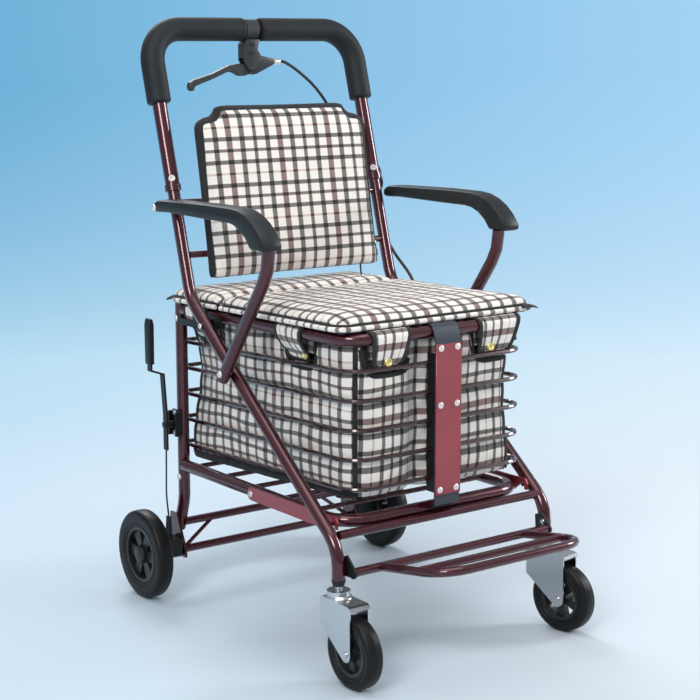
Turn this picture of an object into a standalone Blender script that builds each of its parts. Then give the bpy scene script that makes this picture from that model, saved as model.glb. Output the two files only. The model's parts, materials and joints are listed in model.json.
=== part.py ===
"""Folding shopping walker with a seat, a backrest, a rail basket and a bag.

Metres, +Z up, the front towards -Y and the right-hand side towards +X. Every point below is written
from the middle of the rear axle, on the floor; the empty named walker then carries the whole model
to its place, where the origin is under the middle of its overall box.
"""

import math

import bmesh
import bpy
from mathutils import Matrix, Vector

# Fits between pieces
SEAT_GAP = 0.0003
RUN_GAP = 0.0002
SLIDE_GAP = 0.00035

# Tubes and rods
TUBE_R = 0.0095
HANDLE_R = 0.0111
CROSS_R = 0.0064
RAIL_R = 0.0035
BACK_BAR_R = 0.0052
PLATE_T = 0.003

# Widths, each from the middle plane
SIDE_X = 0.1908
POST_INSET = 0.0315
SEAT_INSET = 0.0303
FLOOR_INSET = 0.0272
RAIL_FRONT_HALF = 0.1575
SEAT_HALF = 0.1790
BACK_HALF = 0.1620

# Side tube, seen from the side
COLLAR_Y = -0.0384
COLLAR_Z = 0.6450
UPPER_LEAN = 0.289
UPPER_BEND_Z = 0.4839
LEG_SLOPE = 0.7758
LEG_BOTTOM_Y = -0.4670
LEG_BOTTOM_Z = 0.1444
UPPER_BEND_R = 0.060
LOWER_BEND_R = 0.055
INNER_SHARE = 0.6173

# Fold pivot and the stay's pin
PIVOT_Y = -0.1280
PIVOT_BOSS_R = 0.0080
STAY_PIN_Y = -0.4340
STAY_PIN_R = 0.0030
STAY_PIVOT_Y = -0.2250
STAY_WIDTH = 0.0200

# Handle
HANDLE_TOP_Z = 0.8880
HANDLE_CORNER_R = 0.055
GRIP_R = 0.0185
GRIP_END_DROP = 0.1118
GRIP_LEFT_X = -0.0200
GRIP_RIGHT_X = 0.0100
COLLAR_LENGTH = 0.010
COLLAR_WALL = 0.0016

# Rear frame
WHEEL_R = 0.0700
WHEEL_WIDTH = 0.0260
WHEEL_OUTER_X = 0.2454
AXLE_R = 0.0040
POST_TOP_Z = 0.4660
POST_BEND_Z = 0.1500
POST_FOOT_Y = 0.0170
POST_FOOT_Z = 0.0965
CROSS_UPPER_Y = 0.0030
CROSS_UPPER_Z = 0.1090
CROSS_LOWER_Z = 0.0645
STRUT_R = 0.0032
BRACKET_T = 0.0040
BRACKET_TOP_Z = 0.4640
BRACKET_BOTTOM_Z = 0.4340
BRACKET_REAR_Y = -0.0125
BRACKET_TAB_Y = -0.0225

# Floor frame
FLOOR_FRONT_Y = -0.4410
FLOOR_FRONT_Z = 0.2120
FLOOR_REAR_Z = 0.2060
FLOOR_CORNER_R = 0.044
SLAT_R = 0.0040
SLAT_COUNT = 5
SLAT_FIRST_Y = -0.0350
SLAT_LAST_Y = -0.3600

# Seat unit: seat frame, boards and cushions, all tipped up a little to the front
SEAT_FRAME_FRONT_Y = -0.4495
SEAT_FRAME_FRONT_Z = 0.4690
SEAT_SLOPE = 0.027
SEAT_CORNER_R = 0.040
SEAT_FRONT_Y = -0.4520
SEAT_SEAM_Y = -0.1310
SEAT_REAR_Y = 0.0080
BOARD_T = 0.0050
BOARD_INSET = 0.0120
CUSHION_EDGE = 0.0130
CUSHION_CROWN = 0.0060
SEAM_GAP = 0.0030

# Basket rails
RAIL_COUNT = 5
RAIL_TOP_Z = 0.4260
RAIL_PITCH = 0.0417
RAIL_SLOPE = 0.054
RAIL_FRONT_Y = -0.4550
RAIL_REAR_Y = 0.0300
RAIL_CORNER_R = 0.034
RAIL_POST_GAP = 0.0006

# Front plate and its channel
FRONT_PLATE_HALF = 0.0230
FRONT_PLATE_T = 0.0020
FRONT_PLATE_Y = -0.4690
FRONT_PLATE_TOP_Z = 0.4530
FRONT_PLATE_BOTTOM_Z = 0.2350
CHANNEL_DEPTH = 0.0190
CHANNEL_WALL = 0.0020

# Bag
BAG_WALL = 0.0035
BAG_CLEAR = 0.0040
BAG_BOTTOM_FRONT_Z = 0.2470
BAG_SLOPE = 0.050
BAG_CORNER_R = 0.030

# Backrest
BACK_BOTTOM_Z = 0.5090
BACK_TOP_Z = 0.7760
BACK_EDGE_Y = -0.0870
BACK_LEAN = 0.181
BACK_FRONT = 0.0080
BACK_CROWN = 0.0070
BACK_REAR = 0.0040
BACK_BAR_LOW_Z = 0.5500
BACK_BAR_HIGH_Z = 0.6280

# Armrests
ARM_OUTER_X = 0.2340
ARM_TOP_Z = 0.6400
ARM_REAR_Y = -0.0490
ARM_REAR_Z = 0.6250
ARM_BEND_Y = -0.2680
ARM_BEND_R = 0.1000
ARM_INNER_R = 0.0750
ARM_TIP_Z = 0.5860
ARM_TIP_FRONT_Y = -0.3525
ARM_TIP_REAR_Y = -0.3155
ARM_THICKNESS = 0.0220
ARM_TUBE_Y = -0.3290
ARM_TUBE_BEND_Z = 0.5560
ARM_TUBE_BEND_R = 0.0750
ARM_END_Y = -0.2040
ARM_END_Z = 0.3830

# Footrest
FOOT_PIVOT_Y = -0.4850
FOOT_PIVOT_Z = 0.1560
FOOT_MIDDLE_Y = -0.5650
FOOT_REACH = 0.6210
FOOT_RISE = 0.176
FOOT_HALF = 0.1310
FOOT_CORNER_R = 0.045
FOOT_PLATE_T = 0.0032
FOOT_EYE_R = 0.0085
FOOT_PLATE_TOP_Z = 0.1780

# Casters
CASTER_R = 0.0508
CASTER_WIDTH = 0.0260
CASTER_TRAIL = 0.0380
CASTER_TURN = {"left": 0.0, "right": 10.0}
FORK_T = 0.0020
FORK_GAP = 0.0016
FORK_TOP_Z = 0.1200
FORK_FRONT_Y = -0.0490
FORK_REAR_Y = 0.0210
FORK_REAR_Z = 0.0800
FORK_EYE_R = 0.0110
FORK_LIP = 0.0065
CUP_R = 0.0165
CUP_TOP_Z = 0.1300

# Parking lever, on the left post
PARK_PIVOT_Z = 0.2740
PARK_BAR_X = 0.1912
PARK_BAR_TOP_X = 0.1955
PARK_GRIP_X = 0.2173
PARK_BAR_T = 0.0030
PARK_BAR_WIDTH = 0.0110
PARK_BAR_FOOT_Z = 0.2330
PARK_KINK_Z = 0.3560
PARK_GRIP_FOOT_Z = 0.3740
PARK_GRIP_TOP_Z = 0.4465
PARK_GRIP_HALF_X = 0.0050
PARK_GRIP_HALF_Y = 0.0078
PARK_PLATE_HALF = 0.0215

# Brake lever at the middle of the handle
LEVER_PIVOT_X = -0.0075
LEVER_PIVOT_DROP = 0.0618
LEVER_THICK = 0.0110
LEVER_EYE_R = 0.0070
LEVER_PIN_R = 0.0025
LEVER_RISE_ROOM = 0.0172
CLAMP_RING_X = -0.0075
CLAMP_RING_HALF = 0.0115
CLAMP_HALF_DEPTH = 0.0095
ADJUSTER_DROP = 0.0505
ADJUSTER_FOOT_X = 0.0280
ADJUSTER_END_X = 0.0510
ADJUSTER_R = 0.0042
CLIP_Z = 0.6500
CABLE_R = 0.0025
THIN_CABLE_R = 0.0014

# Facets round a circle
TUBE_SIDES = 12
ROD_SIDES = 8
WHEEL_SIDES = 24
ARC_STEP = math.radians(18)

# Values that follow from the ones above
POST_X = SIDE_X - POST_INSET
FLOOR_X = SIDE_X - FLOOR_INSET
SEAT_X = SIDE_X - SEAT_INSET
SIDE_INNER_X = SIDE_X - TUBE_R
SIDE_OUTER_X = SIDE_X + TUBE_R
REAR_AXLE_Y = (FOOT_REACH + CROSS_R - WHEEL_R) / 2
UPPER_BEND_Y = COLLAR_Y + UPPER_LEAN * (UPPER_BEND_Z - COLLAR_Z)
LOWER_BEND_Z = UPPER_BEND_Z + LEG_SLOPE * (LEG_BOTTOM_Y - UPPER_BEND_Y)
PIVOT_Z = UPPER_BEND_Z + LEG_SLOPE * (PIVOT_Y - UPPER_BEND_Y)
STAY_PIN_Z = UPPER_BEND_Z + LEG_SLOPE * (STAY_PIN_Y - UPPER_BEND_Y)
INNER_LENGTH = INNER_SHARE * (HANDLE_TOP_Z - COLLAR_Z)
GRIP_END_Z = HANDLE_TOP_Z - GRIP_END_DROP
LEVER_PIVOT_Z = HANDLE_TOP_Z - LEVER_PIVOT_DROP
HANDLE_TOP_Y = COLLAR_Y + UPPER_LEAN * (HANDLE_TOP_Z - COLLAR_Z)
SLIDE_AXIS = Vector((0, UPPER_LEAN, 1)).normalized()
WHEEL_INNER_X = WHEEL_OUTER_X - WHEEL_WIDTH
RAIL_REAR_HALF = POST_X - TUBE_R - RAIL_R - RAIL_POST_GAP
PIECES_Y = FRONT_PLATE_Y + FRONT_PLATE_T

FINISHES = {
    "burgundy": ((0.115, 0.022, 0.035), 0.32, 0.75),
    "rose": ((0.36, 0.075, 0.105), 0.40, 0.6),
    "black": ((0.030, 0.032, 0.036), 0.50, 0.0),
    "black_metal": ((0.028, 0.027, 0.029), 0.42, 0.5),
    "zinc": ((0.62, 0.63, 0.64), 0.28, 1.0),
    "tyre": ((0.020, 0.020, 0.021), 0.75, 0.0),
    "cloth": ((0.72, 0.68, 0.62), 0.90, 0.0),
    "board": ((0.030, 0.030, 0.032), 0.80, 0.0),
}


def clear_scene():
    for old in list(bpy.data.objects):
        bpy.data.objects.remove(old, do_unlink=True)


def finish_of(name, kind):
    colour, rough, metal = FINISHES[kind]
    material = bpy.data.materials.new(name)
    material.use_nodes = True
    shader = material.node_tree.nodes["Principled BSDF"]
    shader.inputs["Base Color"].default_value = (*colour, 1)
    shader.inputs["Roughness"].default_value = rough
    shader.inputs["Metallic"].default_value = metal
    return material


def to_object(bm, name):
    """The bmesh as an object with its faces turned outwards."""
    bmesh.ops.recalc_face_normals(bm, faces=bm.faces)
    mesh = bpy.data.meshes.new(name)
    bm.to_mesh(mesh)
    bm.free()
    made = bpy.data.objects.new(name, mesh)
    bpy.context.scene.collection.objects.link(made)
    return made


def settle(made):
    """Applies the object's modifiers to its mesh."""
    bpy.context.view_layer.update()
    graph = bpy.context.evaluated_depsgraph_get()
    mesh = bpy.data.meshes.new_from_object(made.evaluated_get(graph))
    made.modifiers.clear()
    made.data = mesh


def combine(made, others, operation="UNION"):
    """Joins the others to the object, or cuts them from it, and removes them."""
    for other in others:
        step = made.modifiers.new(operation, "BOOLEAN")
        step.operation = operation
        step.solver = "EXACT"
        step.object = other
        other.hide_render = True
        other.display_type = "WIRE"
    settle(made)
    for other in others:
        bpy.data.objects.remove(other, do_unlink=True)
    return made


def soften(made, width, segments=1, angle=40):
    step = made.modifiers.new("Bevel", "BEVEL")
    step.width = width
    step.segments = segments
    step.limit_method = "ANGLE"
    step.angle_limit = math.radians(angle)
    settle(made)
    return made


def mirrored(made, name):
    """A copy on the other side of the middle plane."""
    bm = bmesh.new()
    bm.from_mesh(made.data)
    bmesh.ops.transform(bm, matrix=made.matrix_world, verts=bm.verts)
    bmesh.ops.scale(bm, vec=(-1, 1, 1), verts=bm.verts)
    return to_object(bm, name)


def rounded(points, radius, closed=False):
    """The path through the points with each corner turned in an arc, one radius or a radius a corner."""
    points = [Vector(p) for p in points]
    count = len(points)
    radii = radius if isinstance(radius, (list, tuple)) else [radius] * count
    path = []
    for i, corner in enumerate(points):
        if not closed and i in (0, count - 1):
            path.append(corner)
            continue
        before = (points[i - 1] - corner).normalized()
        after = (points[(i + 1) % count] - corner).normalized()
        turn = math.pi - before.angle(after)
        if turn < 1e-4 or radii[i] <= 0:
            path.append(corner)
            continue
        reach = radii[i] * math.tan(turn / 2)
        centre = corner + (before + after).normalized() * radii[i] / math.cos(turn / 2)
        start = corner + before * reach - centre
        normal = start.cross(corner + after * reach - centre).normalized()
        steps = max(1, round(turn / ARC_STEP))
        for k in range(steps + 1):
            path.append(centre + Matrix.Rotation(turn * k / steps, 3, normal) @ start)
    return path


def frames_along(path, closed):
    """A pair of cross directions at each point, turned as little as possible from one to the next."""
    count = len(path)
    tangents = []
    for i in range(count):
        ahead = path[(i + 1) % count] if closed or i < count - 1 else path[i]
        behind = path[i - 1] if closed or i > 0 else path[i]
        tangents.append((ahead - behind).normalized())
    side = tangents[0].cross(Vector((1, 0, 0)))
    if side.length < 0.3:
        side = tangents[0].cross(Vector((0, 0, 1)))
    side.normalize()
    frames = []
    for i, tangent in enumerate(tangents):
        if i:
            side = tangents[i - 1].rotation_difference(tangent) @ side
        side = (side - tangent * side.dot(tangent)).normalized()
        frames.append((side, tangent.cross(side)))
    return frames


def sweep(name, path, radius, sides=TUBE_SIDES, bore=0.0, closed=False):
    """A round tube or rod along the path: solid, or with a bore right through."""
    bm = bmesh.new()
    frames = frames_along(path, closed)

    def skin(size):
        rings = []
        for point, (side, up) in zip(path, frames):
            ring = []
            for k in range(sides):
                angle = math.tau * k / sides
                ring.append(bm.verts.new(point + side * size * math.cos(angle)
                                         + up * size * math.sin(angle)))
            rings.append(ring)
        pairs = list(zip(rings, rings[1:]))
        if closed:
            pairs.append((rings[-1], rings[0]))
        for first, second in pairs:
            for k in range(sides):
                n = (k + 1) % sides
                bm.faces.new((first[k], first[n], second[n], second[k]))
        return rings

    outer = skin(radius)
    if bore and not closed:
        inner = skin(bore)
        for end in (0, -1):
            for k in range(sides):
                n = (k + 1) % sides
                bm.faces.new((outer[end][k], outer[end][n], inner[end][n], inner[end][k]))
    elif not closed:
        bm.faces.new(outer[0])
        bm.faces.new(outer[-1])
    return to_object(bm, name)


def turned(name, profile, centre, axis="X", sides=WHEEL_SIDES):
    """The closed profile of (radius, along) pairs turned about an axis through the centre."""
    bm = bmesh.new()
    along = {"X": Vector((1, 0, 0)), "Y": Vector((0, 1, 0)), "Z": Vector((0, 0, 1))}[axis]
    out = Vector((0, 0, -1)) if axis != "Z" else Vector((0, -1, 0))
    verts = [bm.verts.new(Vector(centre) + along * a + out * r) for r, a in profile]
    edges = [bm.edges.new((verts[i - 1], verts[i])) for i in range(len(verts))]
    bmesh.ops.spin(bm, geom=verts + edges, cent=centre, axis=along, angle=math.tau,
                   steps=sides, use_merge=True)
    bmesh.ops.remove_doubles(bm, verts=bm.verts, dist=1e-6)
    bmesh.ops.dissolve_degenerate(bm, edges=bm.edges, dist=1e-7)
    loose = [e for e in bm.edges if not e.link_faces]
    bmesh.ops.delete(bm, geom=loose, context="EDGES")
    return to_object(bm, name)


def cylinder(name, start, end, radius, sides=TUBE_SIDES):
    return sweep(name, [Vector(start), Vector(end)], radius, sides)


def prism(name, outline, plane, low, high):
    """The outline, in the plane YZ, XZ or XY, extruded from low to high along the third axis."""
    spots = {"YZ": lambda a, b, d: (d, a, b),
             "XZ": lambda a, b, d: (a, d, b),
             "XY": lambda a, b, d: (a, b, d)}[plane]
    bm = bmesh.new()
    face = bm.faces.new([bm.verts.new(spots(a, b, low)) for a, b in outline])
    grown = bmesh.ops.extrude_face_region(bm, geom=[face])
    new_verts = [g for g in grown["geom"] if isinstance(g, bmesh.types.BMVert)]
    shift = Vector(spots(0, 0, high)) - Vector(spots(0, 0, low))
    bmesh.ops.translate(bm, verts=new_verts, vec=shift)
    return to_object(bm, name)


def box(name, low, high):
    outline = [(low[1], low[2]), (high[1], low[2]), (high[1], high[2]), (low[1], high[2])]
    return prism(name, outline, "YZ", low[0], high[0])


def arc(centre, radius, start, end, steps):
    """Points on a circle in a plane, from one angle to another in degrees."""
    points = []
    for k in range(steps + 1):
        angle = math.radians(start + (end - start) * k / steps)
        points.append((centre[0] + radius * math.cos(angle), centre[1] + radius * math.sin(angle)))
    return points


def strip_outline(points, thickness):
    """The outline of a bent flat strip: the points moved half the thickness to each side."""
    points = [Vector(p) for p in points]
    left, right = [], []
    for i, point in enumerate(points):
        ahead = (points[min(i + 1, len(points) - 1)] - point)
        behind = (point - points[max(i - 1, 0)])
        first = (behind if behind.length else ahead).normalized()
        second = (ahead if ahead.length else behind).normalized()
        mean = (first + second).normalized()
        normal = Vector((-mean.y, mean.x))
        reach = thickness / 2 / max(mean.dot(first), 0.3)
        left.append(tuple(point + normal * reach))
        right.append(tuple(point - normal * reach))
    return left + right[::-1]


def pad(name, half_w, half_l, edge, crown, draw, corner, cells, place):
    """A crowned cushion: flat underneath, sides drawn in between its corners, and a bulging edge band.

    It lies in its own plane with its underside at 0, and place puts it on the model.
    """
    across, along = cells
    bm = bmesh.new()

    def spot(u, v, inset=0.0):
        x_half = half_w - draw * (1 - v * v)
        y_half = half_l - draw * (1 - u * u)
        y = v * y_half
        over = max(0.0, abs(y) - (half_l - corner))
        x_half -= corner - math.sqrt(max(corner ** 2 - over ** 2, 0))
        return Vector((u * x_half * (1 - inset), y * (1 - inset), 0))

    def crown_at(u, v):
        return edge + crown * (1 - abs(u) ** 2.6) * (1 - abs(v) ** 2.6)

    grid = []
    for j in range(along + 1):
        row = []
        for i in range(across + 1):
            u = math.sin(math.pi / 2 * (2 * i / across - 1) * 0.9) / math.sin(math.pi / 2 * 0.9)
            v = math.sin(math.pi / 2 * (2 * j / along - 1) * 0.9) / math.sin(math.pi / 2 * 0.9)
            point = spot(u, v)
            point.z = crown_at(u, v)
            row.append(bm.verts.new(point))
        grid.append(row)
    for j in range(along):
        for i in range(across):
            bm.faces.new((grid[j][i], grid[j][i + 1], grid[j + 1][i + 1], grid[j + 1][i]))
    rim = grid[0][:] + [grid[j][-1] for j in range(1, along + 1)]
    rim += grid[-1][-2::-1] + [grid[j][0] for j in range(along - 1, 0, -1)]
    bulge = edge * 0.12
    previous = rim
    for height, grow in ((edge * 0.5, bulge), (0.0, 0.0)):
        ring = []
        for top in rim:
            out = Vector((top.co.x, top.co.y, 0))
            out = Vector((math.copysign(bulge, out.x), math.copysign(bulge, out.y), 0)) * (grow / bulge)
            ring.append(bm.verts.new(Vector((top.co.x, top.co.y, height)) + out * 0.7))
        for k in range(len(rim)):
            n = (k + 1) % len(rim)
            bm.faces.new((previous[k], previous[n], ring[n], ring[k]))
        previous = ring
    bm.faces.new(previous)
    bmesh.ops.transform(bm, matrix=place, verts=bm.verts)
    return to_object(bm, name)


def seat_z(y, at_front):
    """The height at y of something that is at at_front over the seat frame's front tube."""
    return at_front - SEAT_SLOPE * (y - SEAT_FRAME_FRONT_Y)


def rail_z(y, at_front):
    return at_front - RAIL_SLOPE * (y - RAIL_FRONT_Y)


def floor_z(y):
    share = (y - FLOOR_FRONT_Y) / -FLOOR_FRONT_Y
    return FLOOR_FRONT_Z + (FLOOR_REAR_Z - FLOOR_FRONT_Z) * share


def upper_y(z):
    """The side tube's centre line above its upper bend."""
    return COLLAR_Y + UPPER_LEAN * (z - COLLAR_Z)


def back_y(z):
    """The backrest's edge plane."""
    return BACK_EDGE_Y + BACK_LEAN * (z - BACK_BOTTOM_Z)


def rear_frame():
    """The welded rear frame: two posts, two crossbars, two struts and the axle plates."""
    posts = []
    for side in (-1, 1):
        x = side * POST_X
        path = rounded([(x, 0, POST_TOP_Z), (x, 0, POST_BEND_Z), (x, POST_FOOT_Y, POST_FOOT_Z)], 0.05)
        posts.append(sweep("post", path, TUBE_R))
    pieces = [posts[1]]
    pieces.append(cylinder("upper", (-POST_X, CROSS_UPPER_Y, CROSS_UPPER_Z),
                           (POST_X, CROSS_UPPER_Y, CROSS_UPPER_Z), CROSS_R, ROD_SIDES + 2))
    plate_x = POST_X + TUBE_R - 0.001
    pieces.append(cylinder("lower", (-plate_x - 0.001, 0, CROSS_LOWER_Z),
                           (plate_x + 0.001, 0, CROSS_LOWER_Z), CROSS_R, ROD_SIDES + 2))
    for side in (-1, 1):
        strut = cylinder("strut", (side * (POST_X - 0.002), 0, CROSS_LOWER_Z + 0.006),
                         (side * POST_X * 0.69, 0.001, CROSS_UPPER_Z - 0.003), STRUT_R, ROD_SIDES)
        outline = [(0.0255, POST_FOOT_Z + 0.027), (0.006, POST_FOOT_Z + 0.027),
                   (-0.020, WHEEL_R - 0.002), (-0.020, WHEEL_R - 0.014),
                   (0.012, WHEEL_R - 0.014), (0.0255, WHEEL_R + 0.014)]
        low, high = sorted((side * plate_x, side * (plate_x + BRACKET_T)))
        pieces += [strut, prism("plate", outline, "YZ", low, high)]
    return combine_named("rear_frame", posts[0], pieces)


def combine_named(name, first, others, operation="UNION"):
    made = combine(first, others, operation)
    made.name = name
    made.data.name = name
    return made


def side_brackets():
    """The dark plate each side, on a tab ahead of the post, that carries the fold pivot in front of it."""
    inner = SEAT_X + TUBE_R + SEAT_GAP
    tip = arc((PIVOT_Y, PIVOT_Z), PIVOT_BOSS_R + 0.005, 250, 110, 6)
    outline = [(BRACKET_REAR_Y, BRACKET_TOP_Z - 0.001), (-0.045, BRACKET_TOP_Z - 0.003)] + tip[::-1]
    outline += [(-0.045, BRACKET_BOTTOM_Z + 0.001), (BRACKET_REAR_Y, BRACKET_BOTTOM_Z)]
    plate = prism("side_bracket_right", outline, "YZ", inner, inner + PLATE_T)
    boss = cylinder("boss", (inner + 0.001, PIVOT_Y, PIVOT_Z),
                    (SIDE_INNER_X - SEAT_GAP, PIVOT_Y, PIVOT_Z), PIVOT_BOSS_R)
    under_seat_tube = seat_z(BRACKET_TAB_Y, SEAT_FRAME_FRONT_Z) - TUBE_R - 0.0008
    tab = box("tab", (POST_X - TUBE_R, BRACKET_TAB_Y, BRACKET_BOTTOM_Z + 0.001),
              (inner + 0.001, -TUBE_R - SEAT_GAP, under_seat_tube - 0.001))
    right = combine_named("side_bracket_right", plate, [boss, tab])
    return [right, mirrored(right, "side_bracket_left")]


def floor_frame():
    """The basket's floor: a U of tube with cross slats, butted against the posts."""
    rear_y = -TUBE_R - SEAT_GAP
    corners = [(-FLOOR_X, rear_y, floor_z(rear_y)), (-FLOOR_X, FLOOR_FRONT_Y, FLOOR_FRONT_Z),
               (FLOOR_X, FLOOR_FRONT_Y, FLOOR_FRONT_Z), (FLOOR_X, rear_y, floor_z(rear_y))]
    frame = sweep("floor_frame", rounded(corners, FLOOR_CORNER_R), TUBE_R)
    slats = []
    for k in range(SLAT_COUNT):
        y = SLAT_FIRST_Y + (SLAT_LAST_Y - SLAT_FIRST_Y) * k / (SLAT_COUNT - 1)
        z = floor_z(y) + 0.001
        slats.append(cylinder("slat", (-FLOOR_X, y, z), (FLOOR_X, y, z), SLAT_R, ROD_SIDES))
    return combine(frame, slats)


def seat_frame():
    rear_y = -TUBE_R - SEAT_GAP
    x = SEAT_X
    front = (SEAT_FRAME_FRONT_Y, SEAT_FRAME_FRONT_Z)
    rear = (rear_y, seat_z(rear_y, SEAT_FRAME_FRONT_Z))
    corners = [(-x, *rear), (-x, *front), (x, *front), (x, *rear)]
    return sweep("seat_frame", rounded(corners, SEAT_CORNER_R), TUBE_R)


def rail_path(index):
    """A basket rail: wide at the front, inside the posts at the back, and tipped up to the front."""
    top = RAIL_TOP_Z - RAIL_PITCH * index
    front = (RAIL_FRONT_Y, top)
    rear = (RAIL_REAR_Y, rail_z(RAIL_REAR_Y, top))
    corners = [(-RAIL_REAR_HALF, *rear), (-RAIL_FRONT_HALF, *front),
               (RAIL_FRONT_HALF, *front), (RAIL_REAR_HALF, *rear)]
    narrow = [(-RAIL_REAR_HALF, TUBE_R, rail_z(TUBE_R, top)), (-RAIL_REAR_HALF, -TUBE_R, rail_z(-TUBE_R, top))]
    wide = [(RAIL_REAR_HALF, y, z) for _, y, z in narrow[::-1]]
    points = [corners[0]] + narrow + corners[1:3] + wide + [corners[3]]
    radii = [RAIL_CORNER_R * 0.5, 0, 0, RAIL_CORNER_R, RAIL_CORNER_R, 0, 0, RAIL_CORNER_R * 0.5]
    return rounded(points, radii, closed=True)


def basket_rails():
    rails = []
    for index in range(RAIL_COUNT):
        name = f"basket_rail_{index + 1}"
        rails.append(sweep(name, rail_path(index), RAIL_R, ROD_SIDES, closed=True))
    return rails


def tangent_angle(centre, radius, point, way):
    """The angle in degrees at which a straight run from the point meets the circle, on one side of it."""
    out = Vector(point) - Vector(centre)
    return math.degrees(math.atan2(out.y, out.x) % math.tau + way * math.acos(radius / out.length))


def front_backing():
    """The black channel behind the front plate, with a strap over the seat tube and one under the floor."""
    face = PIECES_Y + SEAT_GAP
    web_y = face + CHANNEL_WALL / 2
    hook_r = TUBE_R + SEAT_GAP * 2 + CHANNEL_WALL / 2
    seat_tube = (SEAT_FRAME_FRONT_Y, SEAT_FRAME_FRONT_Z)
    floor_tube = (FLOOR_FRONT_Y, FLOOR_FRONT_Z)
    web_top = (web_y, SEAT_FRAME_FRONT_Z - 0.012)
    web_foot = (web_y, FLOOR_FRONT_Z + 0.0085)
    over = arc(seat_tube, hook_r, tangent_angle(seat_tube, hook_r, web_top, -1), 60, 5)
    under = arc(floor_tube, hook_r, 166, 180, 2)
    points = over[::-1] + [web_top, web_foot] + under
    strap = prism("front_backing", strip_outline(points, CHANNEL_WALL), "YZ",
                  -FRONT_PLATE_HALF + 0.0005, FRONT_PLATE_HALF - 0.0005)
    low = FRONT_PLATE_BOTTOM_Z + 0.004
    high = RAIL_TOP_Z + 0.014
    flanges = []
    cutters = []
    for side in (-1, 1):
        inner = FRONT_PLATE_HALF - 0.0005 - CHANNEL_WALL
        xs = sorted((side * inner, side * (inner + CHANNEL_WALL)))
        flanges.append(box("flange", (xs[0], face + 0.001, low), (xs[1], face + CHANNEL_DEPTH, high)))
    for index in range(RAIL_COUNT):
        z = RAIL_TOP_Z - RAIL_PITCH * index
        cutters.append(cylinder("hole", (-0.03, RAIL_FRONT_Y, z), (0.03, RAIL_FRONT_Y, z),
                                RAIL_R + SEAT_GAP * 1.6, ROD_SIDES))
    combine(strap, flanges)
    return combine(strap, cutters, "DIFFERENCE")


def front_plate():
    outline = [(-FRONT_PLATE_HALF, FRONT_PLATE_BOTTOM_Z), (FRONT_PLATE_HALF, FRONT_PLATE_BOTTOM_Z),
               (FRONT_PLATE_HALF, FRONT_PLATE_TOP_Z), (-FRONT_PLATE_HALF, FRONT_PLATE_TOP_Z)]
    plate = prism("front_plate", outline, "XZ", FRONT_PLATE_Y, PIECES_Y)
    return soften(plate, 0.0006)


def bag():
    """The fabric bag as an open shell that narrows to the back, inside the rails."""
    front_half = RAIL_FRONT_HALF - RAIL_R - BAG_CLEAR
    rear_half = RAIL_REAR_HALF - RAIL_R - BAG_CLEAR
    front_y = PIECES_Y + SEAT_GAP + CHANNEL_DEPTH + SEAT_GAP
    rear_y = RAIL_REAR_Y - RAIL_R - BAG_CLEAR
    rim_z = SEAT_FRAME_FRONT_Z - TUBE_R - 0.002

    def loop(inset, bottom):
        corners = [(-rear_half + inset, rear_y - inset, 0), (-front_half + inset, front_y + inset, 0),
                   (front_half - inset, front_y + inset, 0), (rear_half - inset, rear_y - inset, 0)]
        shape = rounded(corners, BAG_CORNER_R - inset, closed=True)
        points = []
        for p in shape:
            rise = p.y - front_y
            z = BAG_BOTTOM_FRONT_Z - BAG_SLOPE * rise if bottom else rim_z - SEAT_SLOPE * rise
            points.append(Vector((p.x, p.y, z)))
        return points

    bm = bmesh.new()
    lift = Vector((0, 0, BAG_WALL))
    rings = [[bm.verts.new(p) for p in loop(0, True)], [bm.verts.new(p) for p in loop(0, False)],
             [bm.verts.new(p) for p in loop(BAG_WALL, False)],
             [bm.verts.new(p + lift) for p in loop(BAG_WALL, True)]]
    for first, second in zip(rings, rings[1:]):
        for k in range(len(first)):
            n = (k + 1) % len(first)
            bm.faces.new((first[k], first[n], second[n], second[k]))
    bm.faces.new(rings[0])
    bm.faces.new(rings[-1])
    return to_object(bm, "shopping_bag")


def seat_board(name, front_y, rear_y):
    """A thin stiff board on the seat frame, under one section of the seat."""
    half = SEAT_HALF - BOARD_INSET
    top = SEAT_FRAME_FRONT_Z + TUBE_R + SEAT_GAP
    outline = []
    for y, up in ((front_y, 0), (rear_y, 0), (rear_y, BOARD_T), (front_y, BOARD_T)):
        outline.append((y, seat_z(y, top) + up))
    return prism(name, outline, "YZ", -half, half)


def seat_cushion(name, front_y, rear_y, cells):
    base = SEAT_FRAME_FRONT_Z + TUBE_R + SEAT_GAP + BOARD_T + SEAT_GAP
    middle = (front_y + rear_y) / 2
    tilt = math.atan(SEAT_SLOPE)
    place = Matrix.Translation((0, middle, seat_z(middle, base))) @ Matrix.Rotation(-tilt, 4, "X")
    half_l = (rear_y - front_y) / 2 / math.cos(tilt)
    return pad(name, SEAT_HALF, half_l, CUSHION_EDGE, CUSHION_CROWN, 0.003, 0.018, cells, place)


def seat():
    split_front = SEAT_SEAM_Y - SEAM_GAP / 2
    split_rear = SEAT_SEAM_Y + SEAM_GAP / 2
    board_front = seat_board("seat_board_front", SEAT_FRONT_Y + BOARD_INSET, split_front - 0.002)
    board_rear = seat_board("seat_board_rear", split_rear + 0.002, -TUBE_R - 0.002)
    front = seat_cushion("seat_cushion_front", SEAT_FRONT_Y, split_front, (16, 14))
    rear = seat_cushion("seat_cushion_rear", split_rear, SEAT_REAR_Y, (16, 8))
    return [board_front, board_rear, front, rear]


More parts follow.
